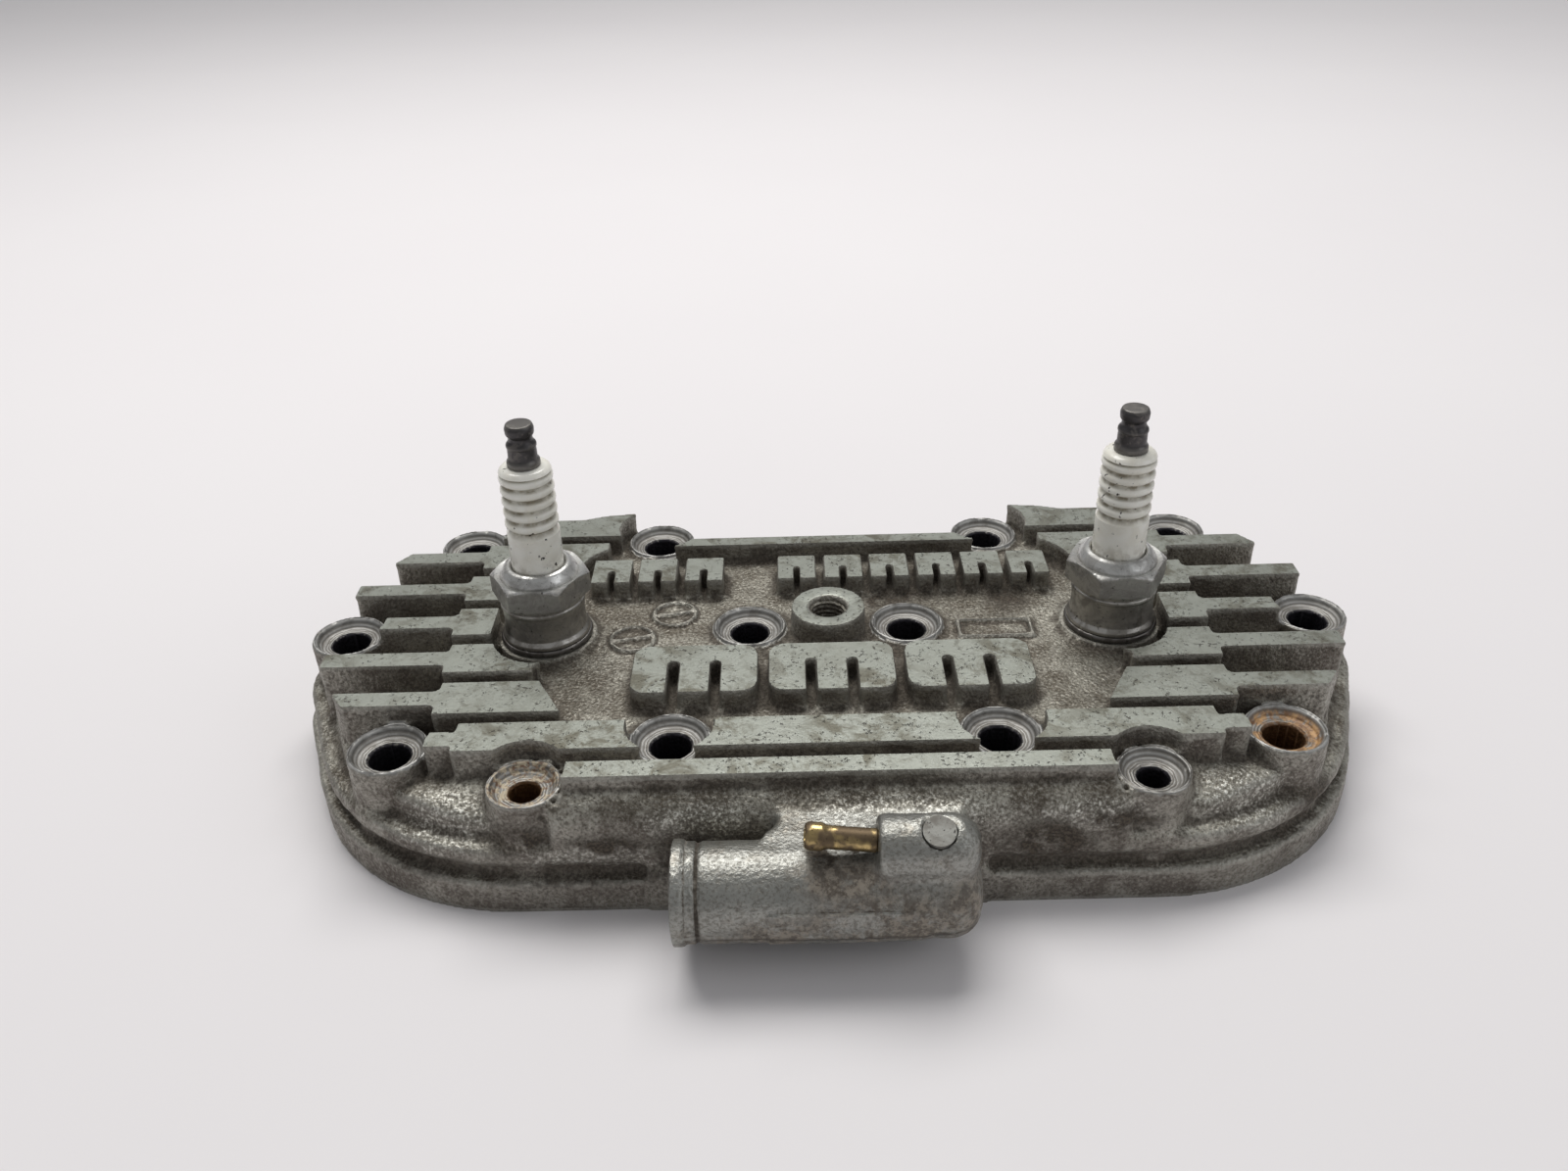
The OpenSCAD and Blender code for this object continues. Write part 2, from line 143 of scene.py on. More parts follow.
def softened(points, radius, steps):
    """The closed outline with each corner cut back by up to the radius and rounded."""
    result = []
    count = len(points)
    for i, corner in enumerate(points):
        corner = Vector(corner)
        before = Vector(points[i - 1]) - corner
        after = Vector(points[(i + 1) % count]) - corner
        if corner.x < 0.01:
            result.append(tuple(corner))
            continue
        start = corner + before.normalized() * min(radius, before.length * 0.4)
        end = corner + after.normalized() * min(radius, after.length * 0.4)
        for k in range(steps + 1):
            t = k / steps
            point = start * (1 - t) ** 2 + corner * 2 * t * (1 - t) + end * t * t
            result.append(tuple(point))
    return result


def turned(name, outline, place, segments=96, shape=None):
    """A turned piece: the closed outline [(r, z)] in mm carried round Z, then put in place.

    shape(r, z, angle) may change the radius, such as for a hexagon or a screw thread."""
    rings, verts, faces = [], [], []
    for r, z in outline:
        ring = []
        for k in range(1 if r < 0.01 else segments):
            angle = 2 * math.pi * k / segments
            radius = shape(r, z, angle) if shape else r
            ring.append(len(verts))
            verts.append(place @ (Vector((radius * math.cos(angle), radius * math.sin(angle), z)) * MM))
        rings.append(ring)
    for low, high in zip(rings, rings[1:] + rings[:1]):
        if len(low) == 1 and len(high) == 1:
            continue
        for k in range(segments):
            n = (k + 1) % segments
            corners = [low[k % len(low)], low[n % len(low)], high[n % len(high)], high[k % len(high)]]
            faces.append(list(dict.fromkeys(corners)))
    obj = object_from(name, verts, faces)
    face_outwards(obj)
    return obj


# ---- casting mesh


def vertex_array(mesh, measure="co"):
    """The vertices' places, or their normals with measure "normal", one row each."""
    flat = np.empty(len(mesh.vertices) * 3, np.float32)
    mesh.vertices.foreach_get(measure, flat)
    return flat.reshape(-1, 3).astype(float)


def remeshed(node, voxel_mm):
    """An even, closed skin over a CAD node, as a new mesh."""
    work = bmesh.new()
    work.from_mesh(node.data)
    bmesh.ops.remove_doubles(work, verts=work.verts, dist=0.002 * MM)
    mesh = bpy.data.meshes.new("casting_work")
    work.to_mesh(mesh)
    work.free()
    obj = link(bpy.data.objects.new("casting_work", mesh))
    even = obj.modifiers.new("even", "REMESH")
    even.mode = "VOXEL"
    even.voxel_size = voxel_mm * MM
    evaluated = obj.evaluated_get(bpy.context.evaluated_depsgraph_get())
    result = bpy.data.meshes.new_from_object(evaluated)
    bpy.data.objects.remove(obj)
    return result


class Skin:
    """Points of an even mesh in mm, with the averaging over neighbours that smoothing needs."""

    def __init__(self, mesh):
        self.mesh = mesh
        self.points = vertex_array(mesh) / MM
        edges = np.empty(len(mesh.edges) * 2, np.int32)
        mesh.edges.foreach_get("vertices", edges)
        self.a, self.b = edges.reshape(-1, 2).T
        self.size = len(self.points)
        self.degree = np.bincount(self.a, minlength=self.size) + np.bincount(self.b, minlength=self.size)

    def mean(self, values):
        """Each point's average of its neighbours' values, one column at a time."""
        columns = []
        for column in values.T:
            total = np.bincount(self.a, column[self.b], self.size)
            total += np.bincount(self.b, column[self.a], self.size)
            columns.append(total / self.degree)
        return np.stack(columns, 1)

    def smooth(self, weight, rounds):
        """Relaxes the points; weight holds one share per point and axis."""
        for _ in range(rounds):
            self.points += (self.mean(self.points) - self.points) * weight

    def write(self):
        """Puts the points back into the mesh."""
        self.mesh.vertices.foreach_set("co", (self.points * MM).astype(np.float32).ravel())
        self.mesh.update()

    def normals(self):
        self.write()
        return vertex_array(self.mesh, "normal")


def lattice_noise(points, cell, seed):
    """Smooth random values from -1 to 1 at points in mm, on a seeded lattice of the given cell size."""
    side = 64
    lattice = np.random.default_rng(seed).uniform(-1, 1, (side, side, side))
    scaled = points / cell
    base = np.floor(scaled).astype(int)
    part = scaled - base
    part = part * part * (3 - 2 * part)
    result = np.zeros(len(points))
    for corner in np.ndindex(2, 2, 2):
        index = (base + corner) % side
        share = np.prod(np.where(corner, part, 1 - part), axis=1)
        result += share * lattice[index[:, 0], index[:, 1], index[:, 2]]
    return result


def step(values, low, high):
    """0 below low, 1 above high, smooth between."""
    t = np.clip((values - low) / (high - low), 0, 1)
    return t * t * (3 - 2 * t)


def stud_axes():
    """(name, x, y, hole radius) of every bolt hole, in mm, from the record's mounts."""
    axes = []
    for name, mount in mounts.items():
        if mount["kind"] != "bolt_pattern":
            continue
        half = mount["dims"]["spacing_x_mm"] / 2
        for side in (-1, 1):
            x = mount["pos_m"][0] / MM + side * half
            axes.append((f"{name}{side:+d}", x, mount["pos_m"][1] / MM, mount["dims"]["hole_r_mm"]))
    return axes


STUDS = stud_axes()


def nearest_stud(points):
    """For each point: distance to the closest stud axis in plan, and that stud's index."""
    centres = np.array([[x, y] for _, x, y, _ in STUDS])
    gaps = np.linalg.norm(points[:, None, :2] - centres[None], axis=2)
    return gaps.min(1), gaps.argmin(1)


def plug_distance(points):
    """Distance in plan to the closer plug's axis, in mm."""
    plug_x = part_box("right_plug_shell")[0].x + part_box("right_plug_shell")[1].x
    return np.hypot(np.abs(points[:, 0]) - plug_x / 2 / MM, points[:, 1])


def machined_share(points):
    """1 where a tool cut the casting, 0 where the surface is as cast."""
    z = points[:, 2]
    gap, index = nearest_stud(points)
    hole_r = np.array([r for *_, r in STUDS])[index]
    rim = hole_r + SEAT_R - LARGE_HOLE_R
    seat = (gap < rim) & (z > RIM_Z - DISH_DEPTH - 0.5) & (z < RIM_Z + 0.6)
    bolt_hole = gap < hole_r + 0.3
    top = (z > TOP_Z - 0.3) & (points[:, 1] > OUTLET_LINE)
    under = z < 0.3
    plug = plug_distance(points)
    chamber = (plug < CHAMBER_R + 0.3) & (z < CHAMBER_TOP)
    plug_seat = (plug < PLUG_BOSS_R + 0.3) & (z > FIELD_Z - 0.5)
    plug_hole = plug < PLUG_HOLE_R
    port = (np.hypot(points[:, 0], points[:, 1]) < PORT_R) & (z > PORT_LOW)
    cut = seat | bolt_hole | top | under | chamber | plug_seat | plug_hole | port
    return cut.astype(float)


def cast_surface(skin):
    """Rounds the cast corners, keeps the cut faces flat, and adds the unevenness of sand casting."""
    start = skin.points.copy()
    x, y, z = start.T
    cut = machined_share(start)
    outlet = y < OUTLET_LINE
    near_top = np.where(outlet, 1, step(TOP_Z - z, 0.2, 1.8))
    cast = (1 - cut) * np.maximum(near_top, 0.05)
    slope = step(-y, 50, 58) * np.where(outlet, 1, step(27.5 - z, 0, 3))
    ends = step(np.abs(x), 92, 104) * step(20 - z, 0, 4)
    low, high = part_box("passage_plug")
    disc = np.linalg.norm(start - np.array((low + high) / 2) / MM, axis=1) < 5.4
    cast = cast * np.where(disc & (z > 28), 0.05, 1)
    pipe = (x < SPIGOT_STEP) & (y < PIPE_BACK)
    foot = (x < SPIGOT_END + 1) & (x > SPIGOT_END - 8) & (y < FOOT_BACK)
    spigot = pipe | foot
    skin.smooth(np.repeat((cast * np.where(spigot, 0.3, 0.5))[:, None], 3, axis=1), 7)
    soft = cast * np.maximum(slope, ends) * step(z, 8.5, 12) * np.where(spigot, 0, 0.5)
    skin.smooth(np.repeat(soft[:, None], 3, axis=1), 24)
    edge = (z > TOP_Z - 0.3) & (cut > 0)
    plan = np.zeros_like(start)
    plan[edge, :2] = 0.4
    skin.smooth(plan, 6)
    skin.points[(np.abs(z - TOP_Z) < 0.3) & ~outlet, 2] = TOP_Z
    skin.points[z < 0.3, 2] = 0
    raise_field_marks(skin, start)
    shape_spigot(skin, start)
    normals = skin.normals()
    waves = 0.16 * lattice_noise(start, 7.5, 1) + 0.09 * lattice_noise(start, 2.9, 2)
    grain = 0.07 * lattice_noise(start, 1.1, 3)
    rough = cast * step(z, 0.5, 2) * np.where(spigot, 0.45, 1)
    skin.points += normals * (rough * (waves + grain))[:, None]


def raise_field_marks(skin, start):
    """Cast rings with a bar across and a plain frame, drawn crisply on the centre field."""
    x, y, z = start.T
    raised = np.zeros(skin.size)
    inside = np.zeros(skin.size, bool)
    tilt = math.radians(12)
    for centre_x, centre_y in DIALS:
        along = (x - centre_x) * math.cos(tilt) + (y - centre_y) * math.sin(tilt)
        across = (y - centre_y) * math.cos(tilt) - (x - centre_x) * math.sin(tilt)
        gap = np.hypot(along, across)
        ring = 1 - step(np.abs(gap - DIAL_R), 0.3, 0.75)
        bar = (1 - step(np.abs(across), 0.45, 0.95)) * (gap < DIAL_R)
        raised = np.maximum(raised, np.maximum(ring, bar))
        inside |= gap < DIAL_R + 1.2
    low_x, high_x, low_y, high_y = FIELD_FRAME
    out = np.maximum.reduce([low_x - x, x - high_x, low_y - y, y - high_y])
    raised = np.maximum(raised, 1 - step(np.abs(out + 0.45), 0.3, 0.8))
    inside |= out < 0.9
    chosen = inside & (z > FIELD_Z - 0.7) & (z < FIELD_Z + 1.4)
    skin.points[chosen, 2] = FIELD_Z + FIELD_MARK_HEIGHT * raised[chosen]


def shape_spigot(skin, start):
    """The spigot's end bead, scored ring and mould step, and the parting ridge along the outlet."""
    centre = np.array(mounts["hose_spigot"]["pos_m"][1:]) / MM
    x = start[:, 0]
    arm = skin.points[:, 1:] - centre
    radius = np.linalg.norm(arm, axis=1)
    free_end = (x > SPIGOT_END + 0.2) & (x < SPIGOT_FREE)
    front_half = (x >= SPIGOT_FREE) & (x < SPIGOT_STOP) & (arm[:, 0] < 0) & (arm[:, 1] < 3)
    chosen = (free_end | front_half) & (np.abs(radius - SPIGOT_R) < 1.0)
    bead = 0.5 * (1 - step(np.abs(x - SPIGOT_END - 1.3), 0.9, 1.6))
    ring = -0.4 * (1 - step(np.abs(x - SPIGOT_RING), 0.2, 0.65))
    mould_step = 0.3 * step(x, SPIGOT_STEP - 0.3, SPIGOT_STEP + 0.3)
    height = skin.points[:, 2] - PARTING_Z
    ridge = 0.3 * (1 - step(np.abs(height), 0.15, 0.6)) * (arm[:, 0] < 0)
    target = SPIGOT_R + bead + ring + mould_step + ridge
    fit = np.where(x < SPIGOT_STEP, 1, 1 - step(x, SPIGOT_STOP - 5, SPIGOT_STOP))
    scale = 1 + (target / np.maximum(radius, 1) - 1) * fit
    skin.points[chosen, 1:] = centre + (arm * scale[:, None])[chosen]


def hollowness(skin, rounds):
    """How far each point lies below the smoothed surface round it, in mm; negative on outer corners."""
    blurred = skin.points.copy()
    for _ in range(rounds):
        blurred = skin.mean(blurred)
    normals = skin.normals()
    return np.einsum("ij,ij->i", blurred - skin.points, normals)


def thinned(mesh, faces):
    """The mesh with no more than this many triangles, fewer where it is flat."""
    obj = link(bpy.data.objects.new("thin_work", mesh))
    triangles = obj.modifiers.new("triangles", "TRIANGULATE")
    triangles.quad_method = "SHORTEST_DIAGONAL"
    thin = obj.modifiers.new("thin", "DECIMATE")
    thin.ratio = min(1.0, faces / (2 * len(mesh.polygons)))
    result = bpy.data.meshes.new_from_object(obj.evaluated_get(bpy.context.evaluated_depsgraph_get()))
    bpy.data.objects.remove(obj)
    return result


def add_attribute(mesh, name, values):
    layer = mesh.attributes.new(name, "FLOAT", "POINT")
    layer.data.foreach_set("value", np.asarray(values, np.float32))


def carried_over(values, old_points, new_points):
    """The values at the old points, read at the nearest old point to each new one."""
    tree = kdtree.KDTree(len(old_points))
    for i, p in enumerate(old_points):
        tree.insert(p, i)
    tree.balance()
    found = [tree.find(p)[1] for p in new_points]
    return values[found]


def blobs(points, places):
    """Strongest of several soft ellipsoids [(x, y, z, rx, ry, rz)] at each point, from 0 to 1."""
    strongest = np.zeros(len(points))
    for place in places:
        reach = np.linalg.norm((points - place[:3]) / place[3:], axis=1)
        strongest = np.maximum(strongest, 1 - step(reach, 0.45, 1.1))
    return strongest


# Where bare bright metal shows through the dirt on the front slopes, also painted brighter there as a
# highlight: x, y, z, then half sizes.
BARE_METAL_AND_HIGHLIGHT_PLACES = [
    (-84, -60, 19, 13, 9, 8),
    (86, -58, 19, 14, 9, 8),
    (-28, -66, 22, 14, 5, 5),
    (14, -66, 23, 26, 5, 5),
    (52, -66, 22, 14, 5, 4),
    (-52, -67, 13, 16, 5, 4),
]
# Where dark grime has gathered; the patch at (0, -79, 25) on the outlet under the bleed nipple is a painted
# shadow of the nipple.
GRIME_AND_SHADOW_PLACES = [
    (-55, -68, 10, 26, 6, 4),
    (-95, -62, 10, 16, 9, 4),
    (-33, -68, 15, 8, 6, 8),
    (-49, -67, 17, 11, 6, 3.5),
    (44, -67, 15, 12, 6, 9),
    # Painted shadow of the bleed nipple on the outlet, with some dirt.
    (0, -79, 25, 10, 5, 4),
    (-67, -64, 18, 9, 6, 5),
    (58, -66, 20, 11, 5, 4),
    (100, -50, 14, 12, 8, 5),
    (12, 14, 25.5, 22, 7, 3),
    (46, 16, 25.5, 8, 12, 3),
    (0, -11, 25.5, 40, 4, 3),
]
# Brown stains on the silvery outlet.
OUTLET_STAINS = [
    (8, -89, 15, 22, 10, 10),
    (0, -84, 23, 13, 6, 4),
    (23, -84, 15, 9, 12, 11),
    (-25, -88, 9, 10, 9, 5),
    (-13, -89, 13, 10, 8, 6),
    (24, -78, 24, 8, 6, 5),
]


def outlet_share(points):
    """1 on the outlet and its neck, which is cleaner and more silvery than the slopes."""
    x, y, z = points.T
    body = step(-y, 68.5, 71.5)
    neck = step(-y, 64.5, 67.5) * step(x, -18, -13) * (1 - step(x, 24, 29)) * step(z, 17, 21)
    return np.maximum(body, neck)


def parting_line(points):
    """1 just under the outlet's parting ridge and in the spigot's scored ring, where a dark line is painted.
    """
    x, y, z = points.T
    below = (1 - step(np.abs(z - PARTING_Z + 0.6), 0.3, 0.9)) * step(x, -33, -24) * (y < -80)
    ring = (1 - step(np.abs(x - SPIGOT_RING), 0.3, 0.8)) * (y < -68.5)
    return np.maximum(below, 0.9 * ring)


def casting():
    """The head casting as one closed mesh, with the attributes its material reads."""
    skin = Skin(remeshed(frame["nodes"]["head_casting"], VOXEL))
    cast_surface(skin)
    near = hollowness(skin, 6)
    wide = hollowness(skin, 60)
    skin.write()
    mesh = thinned(skin.mesh, FACE_BUDGET)
    mesh.name = "cast_head"
    points = vertex_array(mesh) / MM
    hollow = carried_over(np.stack([near, wide], 1), skin.points, points)
    z = points[:, 2]
    gap, index = nearest_stud(points)
    names = [name for name, *_ in STUDS]
    hole_r = np.array([r for *_, r in STUDS])[index]
    rim = hole_r + BOSS_R - LARGE_HOLE_R
    in_boss = (gap < rim + 0.2) & (z > RIM_Z - DISH_DEPTH - 0.6) & (z < RIM_Z + 0.5)
    in_boss &= vertex_array(mesh, "normal")[:, 2] > 0.35
    plug = plug_distance(points)
    add_attribute(mesh, "near_hollow", hollow[:, 0])
    add_attribute(mesh, "wide_hollow", hollow[:, 1])
    add_attribute(mesh, "seat", in_boss)
    add_attribute(mesh, "seat_radius", gap)
    add_attribute(mesh, "hole", (gap < hole_r + 0.25) & (z < RIM_Z - DISH_DEPTH))
    add_attribute(mesh, "ochre", index == names.index("front_outer_studs+1"))
    add_attribute(mesh, "tan", index == names.index("small_front_studs-1"))
    add_attribute(mesh, "chamber", (plug < CHAMBER_R + 0.2) & (z > 0.2) & (z < CHAMBER_TOP + 0.1))
    add_attribute(mesh, "chamber_radius", plug)
    add_attribute(mesh, "bare_metal_and_highlight", blobs(points, BARE_METAL_AND_HIGHLIGHT_PLACES))
    add_attribute(mesh, "grime_and_shade", blobs(points, GRIME_AND_SHADOW_PLACES))
    add_attribute(mesh, "stain", blobs(points, OUTLET_STAINS))
    add_attribute(mesh, "outlet", outlet_share(points))
    add_attribute(mesh, "top", (z > TOP_Z - 0.25) & (points[:, 1] > OUTLET_LINE))
    add_attribute(mesh, "parting", parting_line(points))
    obj = link(bpy.data.objects.new("cast_head", mesh))
    shade(obj, 38)
    return obj


# ---- materials


class Graph:
    """One material's nodes, with short calls for the few kinds used here."""

    def __init__(self, name):
        self.material = bpy.data.materials.new(name)
        self.material.use_nodes = True
        self.tree = self.material.node_tree
        self.tree.nodes.clear()
        self.shader = self.tree.nodes.new("ShaderNodeBsdfPrincipled")
        output = self.tree.nodes.new("ShaderNodeOutputMaterial")
        self.tree.links.new(self.shader.outputs[0], output.inputs[0])
        coordinates = self.tree.nodes.new("ShaderNodeTexCoord")
        scale = self.tree.nodes.new("ShaderNodeVectorMath")
        scale.operation = "SCALE"
        scale.inputs["Scale"].default_value = 1 / MM
        self.tree.links.new(coordinates.outputs["Object"], scale.inputs[0])
        self.mm = scale.outputs[0]

    def put(self, socket, value):
        if isinstance(value, bpy.types.NodeSocket):
            self.tree.links.new(value, socket)
        elif isinstance(value, (tuple, list)) and len(value) == 3 and len(socket.default_value) == 4:
            socket.default_value = (*value, 1)
        else:
            socket.default_value = value

    def set(self, **inputs):
        """Sets the shader's own sockets, by name with spaces as underscores."""
        for name, value in inputs.items():
            self.put(self.shader.inputs[name.replace("_", " ")], value)

    def math(self, operation, a, b=0.0):
        node = self.tree.nodes.new("ShaderNodeMath")
        node.operation = operation
        self.put(node.inputs[0], a)
        self.put(node.inputs[1], b)
        return node.outputs[0]

    def times(self, *values):
        result = values[0]
        for value in values[1:]:
            result = self.math("MULTIPLY", result, value)
        return result

    def plus(self, a, b):
        return self.math("ADD", a, b)

    def most(self, *values):
        result = values[0]
        for value in values[1:]:
            result = self.math("MAXIMUM", result, value)
        return result

    def band(self, value, low, high, out_low=0.0, out_high=1.0):
        """The value mapped smoothly from low..high to out_low..out_high."""
        node = self.tree.nodes.new("ShaderNodeMapRange")
        node.interpolation_type = "SMOOTHSTEP"
        self.put(node.inputs["Value"], value)
        limits = {"From Min": low, "From Max": high, "To Min": out_low, "To Max": out_high}
        for name, number in limits.items():
            node.inputs[name].default_value = number
        return node.outputs[0]

    def noise(self, size, detail=4.0, roughness=0.55, warp=0.0, vector=None):
        """Cloudy noise with features about this many mm across."""
        node = self.tree.nodes.new("ShaderNodeTexNoise")
        self.put(node.inputs["Vector"], vector or self.mm)
        node.inputs["Scale"].default_value = 1 / size
        node.inputs["Detail"].default_value = detail
        node.inputs["Roughness"].default_value = roughness
        node.inputs["Distortion"].default_value = warp
        return node.outputs[0]

    def cells(self, size):
        """Distance to the closest of scattered points about this many mm apart."""
        node = self.tree.nodes.new("ShaderNodeTexVoronoi")
        self.put(node.inputs["Vector"], self.mm)
        node.inputs["Scale"].default_value = 1 / size
        return node.outputs["Distance"]

    def stretched(self, x, y, z, turn=(0, 0, 0)):
        """Coordinates in mm scaled along each axis, for drawn-out noise."""
        node = self.tree.nodes.new("ShaderNodeMapping")
        self.put(node.inputs["Vector"], self.mm)
        node.inputs["Scale"].default_value = (x, y, z)
        node.inputs["Rotation"].default_value = turn
        return node.outputs[0]

    def mix(self, share, a, b):
        """Colour mix: a where share is 0, b where it is 1."""
        node = self.tree.nodes.new("ShaderNodeMix")
        node.data_type = "RGBA"
        self.put(node.inputs[0], share)
        self.put(node.inputs[6], a)
        self.put(node.inputs[7], b)
        return node.outputs[2]

    def blend(self, share, a, b):
        """Number mix: a where share is 0, b where it is 1."""
        node = self.tree.nodes.new("ShaderNodeMix")
        self.put(node.inputs[0], share)
        self.put(node.inputs[2], a)
        self.put(node.inputs[3], b)
        return node.outputs[0]

    def attribute(self, name):
        node = self.tree.nodes.new("ShaderNodeAttribute")
        node.attribute_name = name
        return node.outputs["Fac"]

    def position(self):
        node = self.tree.nodes.new("ShaderNodeSeparateXYZ")
        self.tree.links.new(self.mm, node.inputs[0])
        return node.outputs

    def facing_up(self):
        """1 on level faces, 0 on upright ones, -1 on faces that look down."""
        geometry = self.tree.nodes.new("ShaderNodeNewGeometry")
        split = self.tree.nodes.new("ShaderNodeSeparateXYZ")
        self.tree.links.new(geometry.outputs["True Normal"], split.inputs[0])
        return split.outputs["Z"]

    def bump(self, height, depth_mm, strength=1.0):
        node = self.tree.nodes.new("ShaderNodeBump")
        node.inputs["Strength"].default_value = strength
        node.inputs["Distance"].default_value = depth_mm * MM
        self.put(node.inputs["Height"], height)
        self.put(self.shader.inputs["Normal"], node.outputs[0])


class CastGraph(Graph):
    """The casting's nodes, with the measures and noises that several of its layers share."""

    def __init__(self):
        super().__init__("cast_aluminium")
        self.z = self.position()["Z"]
        self.up = self.facing_up()
        self.clouds = self.noise(16, 5, 0.6, 0.4)
        self.blotches = self.noise(4.5, 5, 0.62, 0.3)
        self.grains = self.noise(0.75, 3, 0.7)
        self.near = self.attribute("near_hollow")


def bare_casting(g):
    """Colour of the sand-cast metal under its dirt: stained on the field, bright where it is rubbed bare on
    the front slopes, which also carry a painted highlight and painted glints, with painted shade on upright
    faces.
    """
    tone = g.plus(g.times(g.clouds, 0.6), g.times(g.blotches, 0.4))
    bare = g.mix(g.band(tone, 0.40, 0.60), (0.145, 0.128, 0.103), (0.42, 0.405, 0.352))
    level = g.times(g.band(g.z, FIELD_Z + 2, FIELD_Z + 1), g.band(g.z, FIELD_Z - 2, FIELD_Z - 1))
    field = g.times(level, g.band(g.up, 0.5, 0.9))
    bare = g.mix(g.times(field, g.band(g.blotches, 0.42, 0.62, 0.15, 0.5)), bare, (0.125, 0.112, 0.088))
    # Painted highlight: the listed front-slope patches are painted brighter, and the near-white grain speckle,
    # strongest there, is a painted glint.
    bare_metal_and_highlight = g.attribute("bare_metal_and_highlight")
    bare = g.mix(g.times(bare_metal_and_highlight, 0.4), bare, (0.42, 0.41, 0.36))
    glint_speckle = g.times(g.band(g.grains, 0.50, 0.66), g.plus(g.times(bare_metal_and_highlight, 0.8), 0.2))
    bare = g.mix(glint_speckle, bare, (0.90, 0.89, 0.82))
    bare = g.mix(g.times(g.band(g.grains, 0.50, 0.36), 0.6), bare, (0.075, 0.064, 0.050))
    # Painted shade: upright faces are painted darker than level ones.
    shaded_sides = g.band(g.up, 0.6, 0.1)
    bare = g.mix(g.times(shaded_sides, 0.35), bare, (0.220, 0.196, 0.180))
    worn_corners = g.band(g.near, -0.06, -0.16)
    return g.mix(g.times(worn_corners, 0.5), bare, (0.42, 0.41, 0.37))


def casting_dirt_and_shade(g):
    """Share of the dark layer, dirt together with painted shade, which is painted into corners and hollows and
    where grime has gathered.
    """
    # Painted shade with dirt: darker in tight corners (near_hollow) and broad hollows (wide_hollow), plus the
    # grime patches.
    dirt_and_shade = g.most(
        g.times(g.band(g.near, 0.03, 0.14), 0.8),
        g.times(g.band(g.attribute("wide_hollow"), 0.25, 1.1), g.band(g.blotches, 0.40, 0.58, 0.35, 0.85)),
        g.times(g.attribute("grime_and_shade"), g.band(g.blotches, 0.36, 0.58)),
    )
    return g.times(dirt_and_shade, g.band(g.blotches, 0.2, 0.5, 0.55, 1.0))


def silver_outlet(g, stain):
    """Colour of the outlet: silvery, with dark grains and a brown film where it is stained."""
    silver = g.mix(g.noise(6, 3, 0.5), (0.25, 0.25, 0.23), (0.42, 0.425, 0.40))
    silver = g.mix(g.times(g.band(g.grains, 0.54, 0.38), 0.45), silver, (0.10, 0.088, 0.068))
    film = g.mix(g.band(g.noise(1.8, 5, 0.75), 0.44, 0.58), (0.085, 0.064, 0.046), (0.290, 0.250, 0.200))
    stained = g.most(stain, g.times(g.band(g.blotches, 0.52, 0.64), 0.4))
    return g.mix(g.times(stained, 0.9), silver, film)


def milled_face(g, pits):
    """Colour of the milled rib tops: grey-green, mottled, scuffed and pitted."""
    patches = g.band(g.noise(24, 2, 0.5), 0.38, 0.58, 0.25, 1.0)
    mottle = g.times(g.band(g.noise(7, 6, 0.7, 0.5), 0.46, 0.62), patches)
    face = g.mix(g.noise(9, 3, 0.5), (0.250, 0.261, 0.231), (0.345, 0.360, 0.324))
    face = g.mix(g.times(mottle, 0.85), face, (0.120, 0.112, 0.084))
    scuffs = g.times(g.band(g.noise(2.4, 5, 0.75), 0.50, 0.64), g.band(g.noise(17, 2, 0.5), 0.36, 0.56))
    face = g.mix(g.times(scuffs, 0.45), face, (0.095, 0.088, 0.066))
    return g.mix(g.times(pits, 0.85), face, (0.060, 0.052, 0.038))


def cut_seats(g, colour, seat, rings, ochre, tan, dish):
    """The colour with the bolt seats' turning rings, their rust and sand stains, and the holes' walls, painted
    near-black as shade except where stained.
    """
    lathe = g.mix(g.band(rings, -1.0, 1.0), (0.28, 0.278, 0.268), (0.45, 0.446, 0.43))
    lathe = g.mix(g.times(g.band(g.blotches, 0.46, 0.62), 0.5), lathe, (0.11, 0.10, 0.085))
    colour = g.mix(seat, colour, lathe)
    dull = g.band(rings, -1.0, 1.0, 0.7, 0.15)
    colour = g.mix(g.times(dish, dull), colour, (0.170, 0.155, 0.135))
    rust = g.mix(g.band(g.noise(1.6, 4, 0.6), 0.38, 0.62), (0.20, 0.095, 0.035), (0.52, 0.30, 0.12))
    colour = g.mix(g.times(ochre, 0.88), colour, rust)
    sand_stain = g.mix(g.band(g.noise(1.1, 3, 0.6), 0.45, 0.6), (0.52, 0.44, 0.31), (0.17, 0.09, 0.045))
    colour = g.mix(g.times(tan, 0.85), colour, sand_stain)
    stained_hole = g.most(g.attribute("tan"), g.attribute("ochre"))
    # Painted shade: the bolt holes' walls are near-black, rust-brown in the stained holes.
    hole_shade_and_stain = g.mix(stained_hole, (0.030, 0.028, 0.034), (0.14, 0.075, 0.035))
    return g.mix(g.attribute("hole"), colour, hole_shade_and_stain)


def underside(g, colour, under):
    """The colour with the sooty chambers and the ground gasket face."""
    soot = g.mix(g.band(g.clouds, 0.42, 0.60), (0.022, 0.019, 0.017), (0.15, 0.115, 0.08))
    squish = g.band(g.attribute("chamber_radius"), 22.5, 24.5)
    soot = g.mix(g.times(squish, 0.7), soot, (0.17, 0.16, 0.14))
    colour = g.mix(g.attribute("chamber"), colour, soot)
    ground = g.mix(g.band(g.noise(14, 4, 0.6, 0.5), 0.42, 0.6), (0.22, 0.215, 0.195), (0.38, 0.38, 0.35))
    lines = g.noise(0.5, 2, 0.5, 0, g.stretched(0.04, 1.0, 1.0, (0, 0, 0.15)))
    ground = g.mix(g.times(g.band(lines, 0.4, 0.65), 0.35), ground, (0.12, 0.11, 0.10))
    return g.mix(under, colour, ground)


